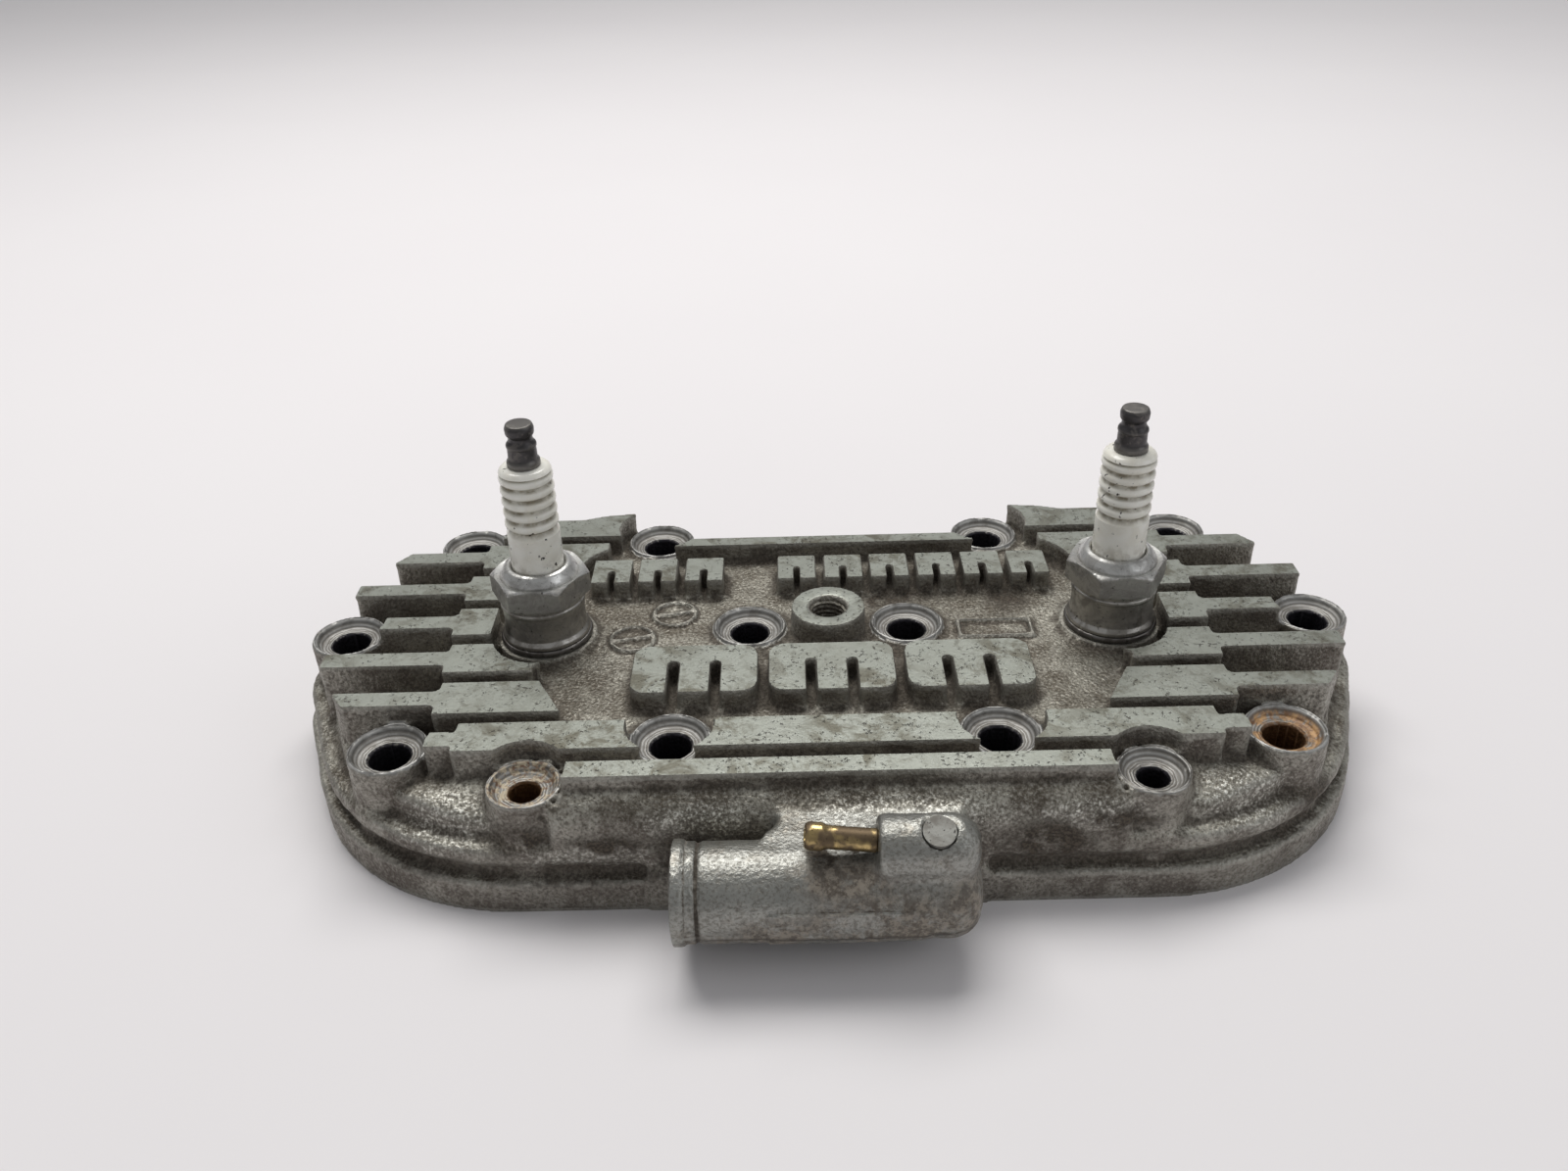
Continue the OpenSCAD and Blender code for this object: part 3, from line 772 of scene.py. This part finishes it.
def cast_aluminium():
    """Stained sand-cast aluminium with milled tops, dished bolt seats, rust stains and sooty chambers."""
    g = CastGraph()
    # The dark layer, dirt and painted shade, goes over the bare metal in corners, hollows and grime patches.
    dirt_and_shade = casting_dirt_and_shade(g)
    grime_and_shade = g.mix(g.band(g.grains, 0.42, 0.60), (0.050, 0.040, 0.030), (0.110, 0.090, 0.068))
    colour = g.mix(dirt_and_shade, bare_casting(g), grime_and_shade)

    outlet = g.attribute("outlet")
    clean = g.times(outlet, g.band(dirt_and_shade, 0.75, 0.15))
    stain = g.times(g.band(g.noise(7, 5, 0.7, 0.5), 0.36, 0.54), g.attribute("stain"))
    colour = g.mix(g.times(clean, 0.85), colour, silver_outlet(g, stain))
    # A dark line painted just under the parting ridge and in the spigot's scored ring.
    parting = g.times(g.attribute("parting"), g.band(g.blotches, 0.34, 0.46), 0.75)
    colour = g.mix(parting, colour, (0.045, 0.037, 0.028))

    milled = g.times(g.attribute("top"), g.band(g.up, 0.8, 0.95))
    pits = g.times(g.band(g.noise(0.9, 3, 0.62), 0.60, 0.67), g.band(g.noise(6, 2, 0.5), 0.38, 0.54))
    colour = g.mix(milled, colour, milled_face(g, pits))

    seat = g.attribute("seat")
    rings = g.math("SINE", g.times(g.attribute("seat_radius"), 9.0))
    dish = g.times(g.band(g.attribute("seat_radius"), 7.9, 7.2), seat)
    ochre = g.times(g.attribute("ochre"), dish, g.band(g.noise(2.6, 4, 0.6), 0.34, 0.52))
    tan = g.times(g.attribute("tan"), dish, g.band(g.noise(1.5, 4, 0.6), 0.44, 0.54))
    colour = cut_seats(g, colour, seat, rings, ochre, tan, dish)
    under = g.times(g.band(g.z, 0.25, 0.08), g.band(g.up, -0.8, -0.95))
    colour = underside(g, colour, under)

    cut = g.most(milled, seat, under)
    cast_roughness = g.blend(dirt_and_shade, g.band(g.grains, 0.3, 0.7, 0.72, 0.42), 0.85)
    roughness = g.blend(cut, cast_roughness, g.blend(seat, 0.44, 0.52))
    outlet_roughness = g.blend(stain, g.band(g.grains, 0.3, 0.7, 0.50, 0.30), 0.7)
    roughness = g.blend(clean, roughness, outlet_roughness)
    covered = g.most(dirt_and_shade, g.times(pits, milled), ochre, tan, g.times(stain, clean))
    g.set(Base_Color=colour, Roughness=roughness, Metallic=g.blend(covered, 0.88, 0.15))

    height = g.plus(g.grains, g.times(g.cells(0.85), 0.5))
    cast_height = g.times(height, g.blend(cut, 1.0, 0.12), g.blend(outlet, 1.0, 0.6))
    pit_height = g.times(pits, milled, -0.8)
    turning = g.times(rings, seat, 0.16)
    g.bump(g.plus(g.plus(cast_height, pit_height), turning), 0.35, 0.75)
    return g.material


def brass():
    """Old brass: golden where rubbed, brown where tarnished."""
    g = Graph("brass")
    handled = g.band(g.position()["X"], -5.5, -3, 0, 0.10)
    tarnish = g.band(g.plus(g.noise(3.2, 2, 0.5, 0.3), handled), 0.36, 0.62)
    colour = g.mix(tarnish, (0.52, 0.39, 0.18), (0.15, 0.108, 0.065))
    colour = g.mix(g.band(g.noise(0.5, 3, 0.6), 0.60, 0.70), colour, (0.05, 0.038, 0.025))
    turning = g.noise(0.35, 2, 0.5, 0, g.stretched(1, 0.05, 0.05))
    g.set(Base_Color=colour, Roughness=g.blend(tarnish, 0.22, 0.5), Metallic=g.blend(tarnish, 1.0, 0.8))
    g.bump(turning, 0.04, 0.5)
    return g.material


def old_steel(name, light, dark, scratch=0.3, roughness=(0.28, 0.55)):
    """Metal gone dull, with darker patches and fine turning marks."""
    g = Graph(name)
    patches = g.band(g.noise(4.0, 5, 0.62, 0.6), 0.40, 0.62)
    colour = g.mix(patches, light, dark)
    colour = g.mix(g.band(g.noise(0.9, 3, 0.65), 0.60, 0.70), colour, (0.045, 0.04, 0.038))
    marks = g.noise(0.4, 3, 0.6, 0, g.stretched(0.08, 0.08, 1.6))
    g.set(Base_Color=colour, Roughness=g.blend(patches, *roughness), Metallic=g.blend(patches, 0.95, 0.7))
    g.bump(g.plus(g.times(marks, scratch), g.noise(0.6, 2, 0.6)), 0.06, 0.6)
    return g.material


def plated_steel():
    """The plug's shell, one plating painted as lit and shaded copies: a painted highlight on the crimped
    collar, lighter on the hexagon, painted shade, dark and dull, on the barrel and thread.
    """
    g = Graph("plug_steel")
    patches = g.band(g.noise(4.0, 5, 0.62, 0.6), 0.40, 0.62)
    light = g.mix(patches, (0.62, 0.62, 0.60), (0.36, 0.355, 0.34))
    dark = g.mix(patches, (0.50, 0.485, 0.455), (0.28, 0.262, 0.235))
    # Painted light: the collar carries a painted highlight and the hexagon is painted lighter; the rest of the
    # shell is the painted-shade copy.
    lit_share = g.attribute("lit_plating")
    colour = g.mix(lit_share, dark, light)
    colour = g.mix(g.band(g.noise(0.9, 3, 0.65), 0.62, 0.72), colour, (0.06, 0.055, 0.052))
    marks = g.noise(0.4, 3, 0.6, 0, g.stretched(0.08, 0.08, 1.6))
    g.set(Base_Color=colour, Roughness=g.blend(patches, 0.30, 0.50), Metallic=g.blend(patches, 0.95, 0.75))
    g.bump(g.plus(g.times(marks, 0.3), g.noise(0.6, 2, 0.6)), 0.06, 0.6)
    return g.material


def glazed_ceramic():
    """Off-white glaze, painted darker in its grooves, stained near the metal, with a few dark nicks."""
    g = Graph("insulator_ceramic")
    z = g.position()["Z"]
    seat_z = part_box("left_plug_gasket")[0].z / MM
    low = g.band(z, seat_z + 26, seat_z + 19)
    groove = g.attribute("groove")
    cloud = g.band(g.noise(6, 4, 0.6, 0.5), 0.35, 0.68)
    colour = g.mix(cloud, (0.95, 0.94, 0.87), (0.86, 0.835, 0.74))
    # Darker colour painted into the grooves between the ribs.
    groove_darkening = g.times(groove, g.band(g.noise(3, 3, 0.6), 0.35, 0.6, 0.4, 0.95))
    colour = g.mix(groove_darkening, colour, (0.25, 0.215, 0.145))
    foot_dirt = g.times(low, g.band(g.noise(2.5, 4, 0.6), 0.42, 0.62), 0.55)
    colour = g.mix(foot_dirt, colour, (0.30, 0.26, 0.19))
    nicks = g.times(g.band(g.noise(1.5, 2, 0.5), 0.66, 0.70), g.band(g.noise(7, 1, 0.5), 0.45, 0.55))
    colour = g.mix(nicks, colour, (0.06, 0.055, 0.05))
    g.set(Base_Color=colour, Roughness=g.blend(cloud, 0.16, 0.30), Metallic=0.0, Coat_Weight=0.3)
    g.shader.inputs["Coat Roughness"].default_value = 0.12
    g.bump(g.noise(1.2, 2, 0.5), 0.03, 0.5)
    return g.material


def blackened_metal():
    """Blackened terminal with metal showing on its edges."""
    g = Graph("terminal_black")
    patches = g.band(g.noise(2.2, 4, 0.6, 0.4), 0.50, 0.66)
    colour = g.mix(patches, (0.062, 0.058, 0.060), (0.15, 0.138, 0.130))
    colour = g.mix(g.times(g.attribute("edge_wear"), 0.8), colour, (0.20, 0.19, 0.175))
    g.set(Base_Color=colour, Roughness=g.blend(patches, 0.38, 0.55), Metallic=0.75)
    g.bump(g.noise(0.5, 3, 0.6), 0.05, 0.5)
    return g.material


def powdery(name, light, dark):
    """Dull mineral or fired surface in two tones."""
    g = Graph(name)
    colour = g.mix(g.band(g.noise(1.6, 4, 0.6), 0.35, 0.65), light, dark)
    g.set(Base_Color=colour, Roughness=0.8, Metallic=0.0)
    g.bump(g.noise(0.4, 3, 0.6), 0.08, 0.6)
    return g.material


MATERIALS = {
    "cast_aluminium": cast_aluminium(),
    "brass": brass(),
    "plug_disc_aluminium": old_steel(
        "plug_disc_aluminium", (0.28, 0.28, 0.26), (0.20, 0.19, 0.17), 0.1, (0.5, 0.65)
    ),
    "plug_steel": plated_steel(),
    "gasket_steel": old_steel("gasket_steel", (0.20, 0.19, 0.18), (0.10, 0.09, 0.08)),
    "insulator_ceramic": glazed_ceramic(),
    "terminal_black": blackened_metal(),
    "stud_steel": old_steel("stud_steel", (0.20, 0.195, 0.185), (0.10, 0.095, 0.09)),
    "resistor_black": powdery("resistor_black", (0.045, 0.042, 0.04), (0.02, 0.02, 0.02)),
    "electrode_nickel": old_steel("electrode_nickel", (0.20, 0.175, 0.15), (0.07, 0.06, 0.05)),
    "sealing_powder": powdery("sealing_powder", (0.62, 0.60, 0.55), (0.48, 0.46, 0.42)),
}


def finish_piece(obj, slot, body, *nodes):
    """Gives a new piece its material, slot and body, and lets it stand for its CAD nodes."""
    obj.data.materials.clear()
    obj.data.materials.append(MATERIALS[slot])
    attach(obj, body)
    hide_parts(*nodes)


# ---- spark plug pieces
# All outlines are in mm about the plug axis, with z = 0 at the seat in the casting.

THREAD_R = 6.97
THREAD_DEPTH = 0.62
THREAD_PITCH = 1.25
THREAD_LOW, THREAD_HIGH = -18.4, -2.5
HEX_LOW, HEX_HIGH = 12.2, 18.1
HEX_HALF = 10.4
INSULATOR_R = 6.2
RIB_PITCH = 2.85
RIBS_LOW = 30.5
RIB_COUNT = 5
INSULATOR_TOP = 46


def fade(value, low, high):
    t = min(max((value - low) / (high - low), 0), 1)
    return t * t * (3 - 2 * t)


def shell_shape(r, z, angle):
    """Screw thread on the lower end and a hexagon with chamfered corners near the top."""
    if THREAD_LOW <= z <= THREAD_HIGH and r > 5.8:
        turn = (z / THREAD_PITCH - angle / (2 * math.pi)) % 1
        ridge = 1 - abs(2 * turn - 1)
        share = fade(z, THREAD_LOW, THREAD_LOW + 1) * fade(-z, -THREAD_HIGH, 1 - THREAD_HIGH)
        return THREAD_R - THREAD_DEPTH + (THREAD_DEPTH * min(1, 1.25 * ridge)) * share
    if HEX_LOW < z < HEX_HIGH and r > 9.5:
        across = (math.degrees(angle) % 60) - 30
        flat = HEX_HALF / math.cos(math.radians(across))
        lower = HEX_HALF + 0.35 + 3 * (z - HEX_LOW)
        upper = HEX_HALF + 0.15 + 1.6 * (HEX_HIGH - z)
        return min(flat, lower, upper)
    return r


def shell_outline():
    """The shell from its nose up the outside, over the collar and down its bore."""
    spacing = THREAD_PITCH / 10
    count = int((THREAD_HIGH - THREAD_LOW) / spacing)
    nose = [(5.4, -19), (6.07, -19), (6.35, -18.7)]
    thread = [(THREAD_R - 0.3, THREAD_LOW + k * spacing) for k in range(count)]
    relief = [(6.27, -2.4), (6.27, 1.56)]
    barrel = [(10.6, 1.56), (10.6, 2.4), (9.9, 3.4), (9.7, 6.5), (9.9, 9.8)]
    crimp = [(10.15, 10), (10.15, 10.9), (9.8, 11.1), (10.15, 11.35), (10.15, HEX_LOW)]
    hexagon = [(12, HEX_LOW + 0.02 + (HEX_HIGH - HEX_LOW - 0.04) * k / 24) for k in range(25)]
    collar = [(9.3, HEX_HIGH), (9.0, 18.8), (7.9, 20.2), (7.0, 20.6), (6.4, 20.2), (6.4, 18.6)]
    bore = [(7.6, 17.8), (7.6, 3), (5.4, 1.2), (5.4, -8.36)]
    bore += [(4.2, -8.36), (4.2, -9.5), (5.2, -10.5), (5.2, -19)]
    outside = softened(barrel + crimp, 0.25, 2) + hexagon
    inside = softened(collar + bore, 0.3, 3)
    return without_repeats(nose + thread + relief + outside + inside)


def without_repeats(points):
    """Drops points that repeat the one before."""
    kept = [points[0]]
    for point in points[1:]:
        if math.dist(point, kept[-1]) > 0.01:
            kept.append(point)
    return kept


def insulator_outline():
    """The insulator from its nose up the outside, over the top and down its bore."""
    r = INSULATOR_R
    ribs = []
    steps = 12
    for k in range(RIB_COUNT * steps + 1):
        phase = k / steps
        depth = 0.95 * abs(math.cos(math.pi * phase)) ** 4
        ribs.append((r + 0.08 - depth, RIBS_LOW + phase * RIB_PITCH))
    nose = [(1.35, -17.6), (2.1, -17.8), (3.0, -11), (3.8, -9.4), (3.8, -7.74)]
    shoulder = [(5.0, -7.74), (5.0, 1.4), (7.3, 3.4), (7.3, 9), (r, 10.4)]
    low = softened(nose + shoulder, 0.2, 2)[3:]
    plain = [(r, z) for z in (12, 16, 20, 22, 24, 26, 28, 29.2)]
    top = [(r - 0.05, 44.8), (r - 0.25, 45.3), (r - 0.7, 45.75), (r - 1.4, INSULATOR_TOP)]
    bore = [(2.3, INSULATOR_TOP), (2.3, -2), (1.35, -2.6)]
    return low + plain + ribs + top + bore


def nut_outline():
    """The snap terminal, closed at the top just above the stud in it."""
    z = INSULATOR_TOP + 0.06
    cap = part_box("left_plug_terminal_stud")[1].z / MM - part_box("left_plug_gasket")[0].z / MM
    top = max(z + 10.3, cap + 0.06)
    skirt = [(2.02, z), (3.85, z), (3.85, z + 1.3), (3.35, z + 2.0), (3.3, z + 4.6)]
    bead = [(3.5, z + 4.9), (3.45, z + 5.5)]
    neck = [(2.8, z + 6.3), (2.75, z + 7.2)]
    head_end = [(3.25, z + 7.9), (3.35, z + 9.3), (2.95, top), (0, top)]
    bore = [(0, top - 0.04), (2.02, top - 0.04)]
    return softened(skirt + bead + neck + head_end + bore, 0.3, 4)


def gasket_outline():
    """A ring folded from sheet, with a shallow groove in its top."""
    outer = [(7.15, 0.1), (10.9, 0), (11.2, 0.7), (10.9, 1.5)]
    groove = [(9.6, 1.5), (9.3, 1.3), (8.6, 1.3), (8.3, 1.5)]
    return softened(outer + groove + [(7.15, 1.45)], 0.3, 4)


def centre_electrode_outline():
    return softened([(0, -19.6), (1.2, -19.6), (1.25, -2.4), (2.2, -1.7), (2.2, 0.9), (0, 0.9)], 0.12, 2)


def about_axis(obj, seat):
    """Each vertex's distance from the plug's axis and its height above the seat, in mm."""
    points = vertex_array(obj.data) / MM - np.array(seat) / MM
    return np.hypot(points[:, 0], points[:, 1]), points[:, 2]


def add_edge_wear(obj, seat):
    """Marks the parts of a turned piece that stand out furthest, where finish wears off."""
    radius, height = about_axis(obj, seat)
    worn = np.maximum(step(radius, 3.25, 3.8), step(height, height.max() - 0.5, height.max() - 0.1))
    add_attribute(obj.data, "edge_wear", worn * 0.8)


def add_plating_light(obj, seat):
    """Marks the hexagon and, more strongly, the collar above it, which get the lit copy of the plating: a
    painted highlight on the collar, painted light on the hexagon.
    """
    _, height = about_axis(obj, seat)
    collar = step(height, HEX_HIGH - 1.2, HEX_HIGH)
    hexagon = 0.45 * step(height, HEX_LOW - 0.3, HEX_LOW + 0.6)
    add_attribute(obj.data, "lit_plating", np.maximum(collar, hexagon))


def add_groove_mark(obj, seat):
    """Marks the grooves between the insulator's ribs, which are painted darker."""
    radius, height = about_axis(obj, seat)
    ribbed = step(height, RIBS_LOW - 1, RIBS_LOW) * step(-height, -INSULATOR_TOP, 1 - INSULATOR_TOP)
    deep = 1 - step(radius, INSULATOR_R - 0.75, INSULATOR_R - 0.1)
    add_attribute(obj.data, "groove", ribbed * deep)


def ground_strap(name, seat):
    """The bent strap from the shell's end in under the centre electrode."""
    width, thick, bend = 2.6, 1.4, 1.6
    z_top, z_low, reach_in, reach_out = -19.05, -21.9, -1.2, 6.0
    path = [(reach_out - thick / 2, z_top)]
    centre = (reach_out - thick / 2 - bend, z_low + thick / 2 + bend)
    for k in range(9):
        angle = math.radians(90 * k / 8)
        path.append((centre[0] + bend * math.cos(angle), centre[1] - bend * math.sin(angle)))
    path.append((reach_in, z_low + thick / 2))
    half_section = [(-0.5, -0.35), (-0.38, -0.5), (0.38, -0.5), (0.5, -0.35)]
    section = half_section + [(-side, -depth) for side, depth in half_section]
    verts = []
    for i, (u, z) in enumerate(path):
        before, after = path[max(i - 1, 0)], path[min(i + 1, len(path) - 1)]
        along = Vector((after[0] - before[0], after[1] - before[1])).normalized()
        across = Vector((-along.y, along.x))
        for side, depth in section:
            point = Vector((u, z)) + across * depth * thick
            verts.append(seat + Vector((-side * width, point.x, point.y)) * MM)
    obj = object_from(name, verts, tube_faces(len(path), len(section)))
    face_outwards(obj)
    return obj


def spark_plug(side):
    """Every visible piece of one plug. Pieces sealed inside keep their CAD shape."""
    body = f"{side}_spark_plug"
    low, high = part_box(f"{side}_plug_gasket")
    seat = Vector(((low.x + high.x) / 2, (low.y + high.y) / 2, low.z))
    place = Matrix.Translation(seat)

    def node(piece):
        return f"{side}_plug_{piece}"

    shell = turned(f"{side}_threaded_shell", shell_outline(), place, 120, shell_shape)
    add_plating_light(shell, seat)
    finish_piece(shell, "plug_steel", body, node("shell"))
    gasket = turned(f"{side}_crush_gasket", gasket_outline(), place)
    finish_piece(gasket, "gasket_steel", f"{side}_gasket", node("gasket"))
    insulator = turned(f"{side}_ribbed_insulator", insulator_outline(), place, 80)
    add_groove_mark(insulator, seat)
    finish_piece(insulator, "insulator_ceramic", body, node("insulator"))
    nut = turned(f"{side}_snap_terminal", nut_outline(), place, 72)
    add_edge_wear(nut, seat)
    finish_piece(nut, "terminal_black", body, node("terminal_nut"))
    electrode = turned(f"{side}_firing_tip", centre_electrode_outline(), place, 48)
    finish_piece(electrode, "electrode_nickel", body, node("centre_electrode"))
    strap = ground_strap(f"{side}_ground_strap", seat)
    finish_piece(strap, "electrode_nickel", body, node("ground_electrode"))


# ---- outlet pieces


def nipple():
    """The brass nipple, turned along the axis that the record's mount states."""
    mount = mounts["bleed_hose_nipple"]
    axis = Vector(mount["axis"])
    bulb_mid = 11.95  # from the foot to the middle of the bulb, where the mount is stated
    foot = Vector(mount["pos_m"]) - axis * bulb_mid * MM
    place = Matrix.Translation(foot) @ axis.to_track_quat("Z", "Y").to_matrix().to_4x4()
    pressed_in = [(1.4, -5.5), (2.14, -5.5), (2.14, 0.05)]
    stem = [(2.35, 0.1), (2.3, 5), (2.35, 9.9)]
    bulb = [(2.8, 10.7), (2.8, 13.2), (2.3, 14.1), (1.4, 14.1)]
    outline = softened(pressed_in + stem + bulb, 0.35, 4)
    obj = turned("brass_bleed_nipple", outline, place, 64)
    finish_piece(obj, "brass", "head", "bleed_nipple")


def port_thread():
    """The screw thread in the sensor port, as a ridge that stands in from the hole's wall."""
    root_r = mounts["sensor_port"]["dims"]["r_mm"] + 0.12
    depth, pitch, per_turn = 0.54, 1.25, 40
    low, high = 21.6, TOP_Z + 0.6
    count = int((high - low) / pitch * per_turn)
    section = [(0, -0.55), (1, -0.08), (1, 0.08), (0, 0.55)]
    verts = []
    for i in range(count + 1):
        angle = 2 * math.pi * i / per_turn
        share = fade(i, 0, per_turn / 2) * fade(count - i, 0, per_turn / 2)
        for inward, dz in section:
            radius = root_r - inward * depth * share
            z = low + pitch * i / per_turn + dz * max(share, 0.05)
            verts.append(Vector((radius * math.cos(angle), radius * math.sin(angle), z)) * MM)
    return object_from("port_thread_work", verts, tube_faces(count + 1, len(section)))


def joined(target, extra):
    """Adds the extra object's mesh to the target, which leaves only the target."""
    face_outwards(extra)
    with bpy.context.temp_override(active_object=target, selected_editable_objects=[target, extra]):
        bpy.ops.object.join()


# ---- build the object

head = casting()
joined(head, port_thread())
finish_piece(head, "cast_aluminium", "head", "head_casting")
nipple()
for plug_side in ("left", "right"):
    spark_plug(plug_side)

# Pieces that keep their CAD shape, by how their node names end, with their materials.
CAD_PIECES = {
    "passage_plug": "plug_disc_aluminium",
    "plug_terminal_stud": "stud_steel",
    "plug_resistor": "resistor_black",
    "plug_sealing_powder": "sealing_powder",
    "plug_inner_washer": "gasket_steel",
}
for name, node in frame["nodes"].items():
    for ending, slot in CAD_PIECES.items():
        if name.endswith(ending):
            node.data.materials.clear()
            node.data.materials.append(MATERIALS[slot])


# ---- floor, light, camera


def floor():
    """A pale sheet that lies flat under the object and curves up far behind it."""
    half_width, front, bend_at, radius, height = 5.0, -5.0, 4.2, 0.6, 1.5
    line = [(front, 0), (bend_at, 0)]
    for k in range(1, 17):
        angle = math.radians(90 * k / 16)
        line.append((bend_at + radius * math.sin(angle), radius * (1 - math.cos(angle))))
    line.append((bend_at + radius, height))
    verts = [(x, y, z) for y, z in line for x in (-half_width, half_width)]
    faces = [[2 * k, 2 * k + 1, 2 * k + 3, 2 * k + 2] for k in range(len(line) - 1)]
    obj = object_from("paper_floor", verts, faces)
    shade(obj, 60)
    g = Graph("paper")
    colour = g.mix(g.noise(260, 3, 0.5), (0.80, 0.775, 0.79), (0.84, 0.82, 0.83))
    g.set(Base_Color=colour, Roughness=0.75, Metallic=0.0)
    g.bump(g.noise(1.5, 2, 0.5), 0.02, 0.3)
    obj.data.materials.append(g.material)


def area_light(name, at, aim, size, power, tint):
    lamp = bpy.data.lights.new(name, "AREA")
    lamp.shape = "RECTANGLE"
    lamp.size, lamp.size_y = size
    lamp.energy = power
    lamp.color = tint
    obj = link(bpy.data.objects.new(name, lamp))
    obj.location = at
    obj.rotation_euler = (Vector(aim) - Vector(at)).to_track_quat("-Z", "Y").to_euler()


def lights():
    area_light("overhead", (-0.15, 0.55, 1.25), (0, 0, 0), (1.3, 0.7), 15.5, (1, 0.985, 0.96))
    area_light("side_fill", (1.3, -0.5, 0.9), (0, 0, 0), (0.9, 0.9), 2.5, (0.95, 0.97, 1))
    area_light("far_fill", (0, 2.6, 2.2), (0, 4.2, 0.2), (5.0, 2.4), 18, (1, 0.985, 0.96))
    world = bpy.data.worlds.new("room")
    world.use_nodes = True
    background = world.node_tree.nodes["Background"]
    background.inputs["Color"].default_value = (0.97, 0.98, 1, 1)
    background.inputs["Strength"].default_value = 0.31
    bpy.context.scene.world = world


def camera():
    """Stands in front of the coolant outlet and looks down at the head."""
    place = (-0.008563, -0.267707, 0.202827)
    turned_left, looking_down, rolled = 0.435, 31.536, -1.639
    data = bpy.data.cameras.new("viewpoint")
    data.sensor_width = 36
    data.lens = 29.91
    data.clip_start, data.clip_end = 0.01, 20
    obj = link(bpy.data.objects.new("viewpoint", data))
    turn = Matrix.Rotation(math.radians(turned_left), 4, "Z")
    tilt = Matrix.Rotation(math.radians(90 - looking_down), 4, "X")
    roll = Matrix.Rotation(math.radians(rolled), 4, "Z")
    obj.matrix_world = Matrix.Translation(place) @ turn @ tilt @ roll
    bpy.context.scene.camera = obj


floor()
lights()
camera()
bpy.context.scene.view_settings.view_transform = "Standard"
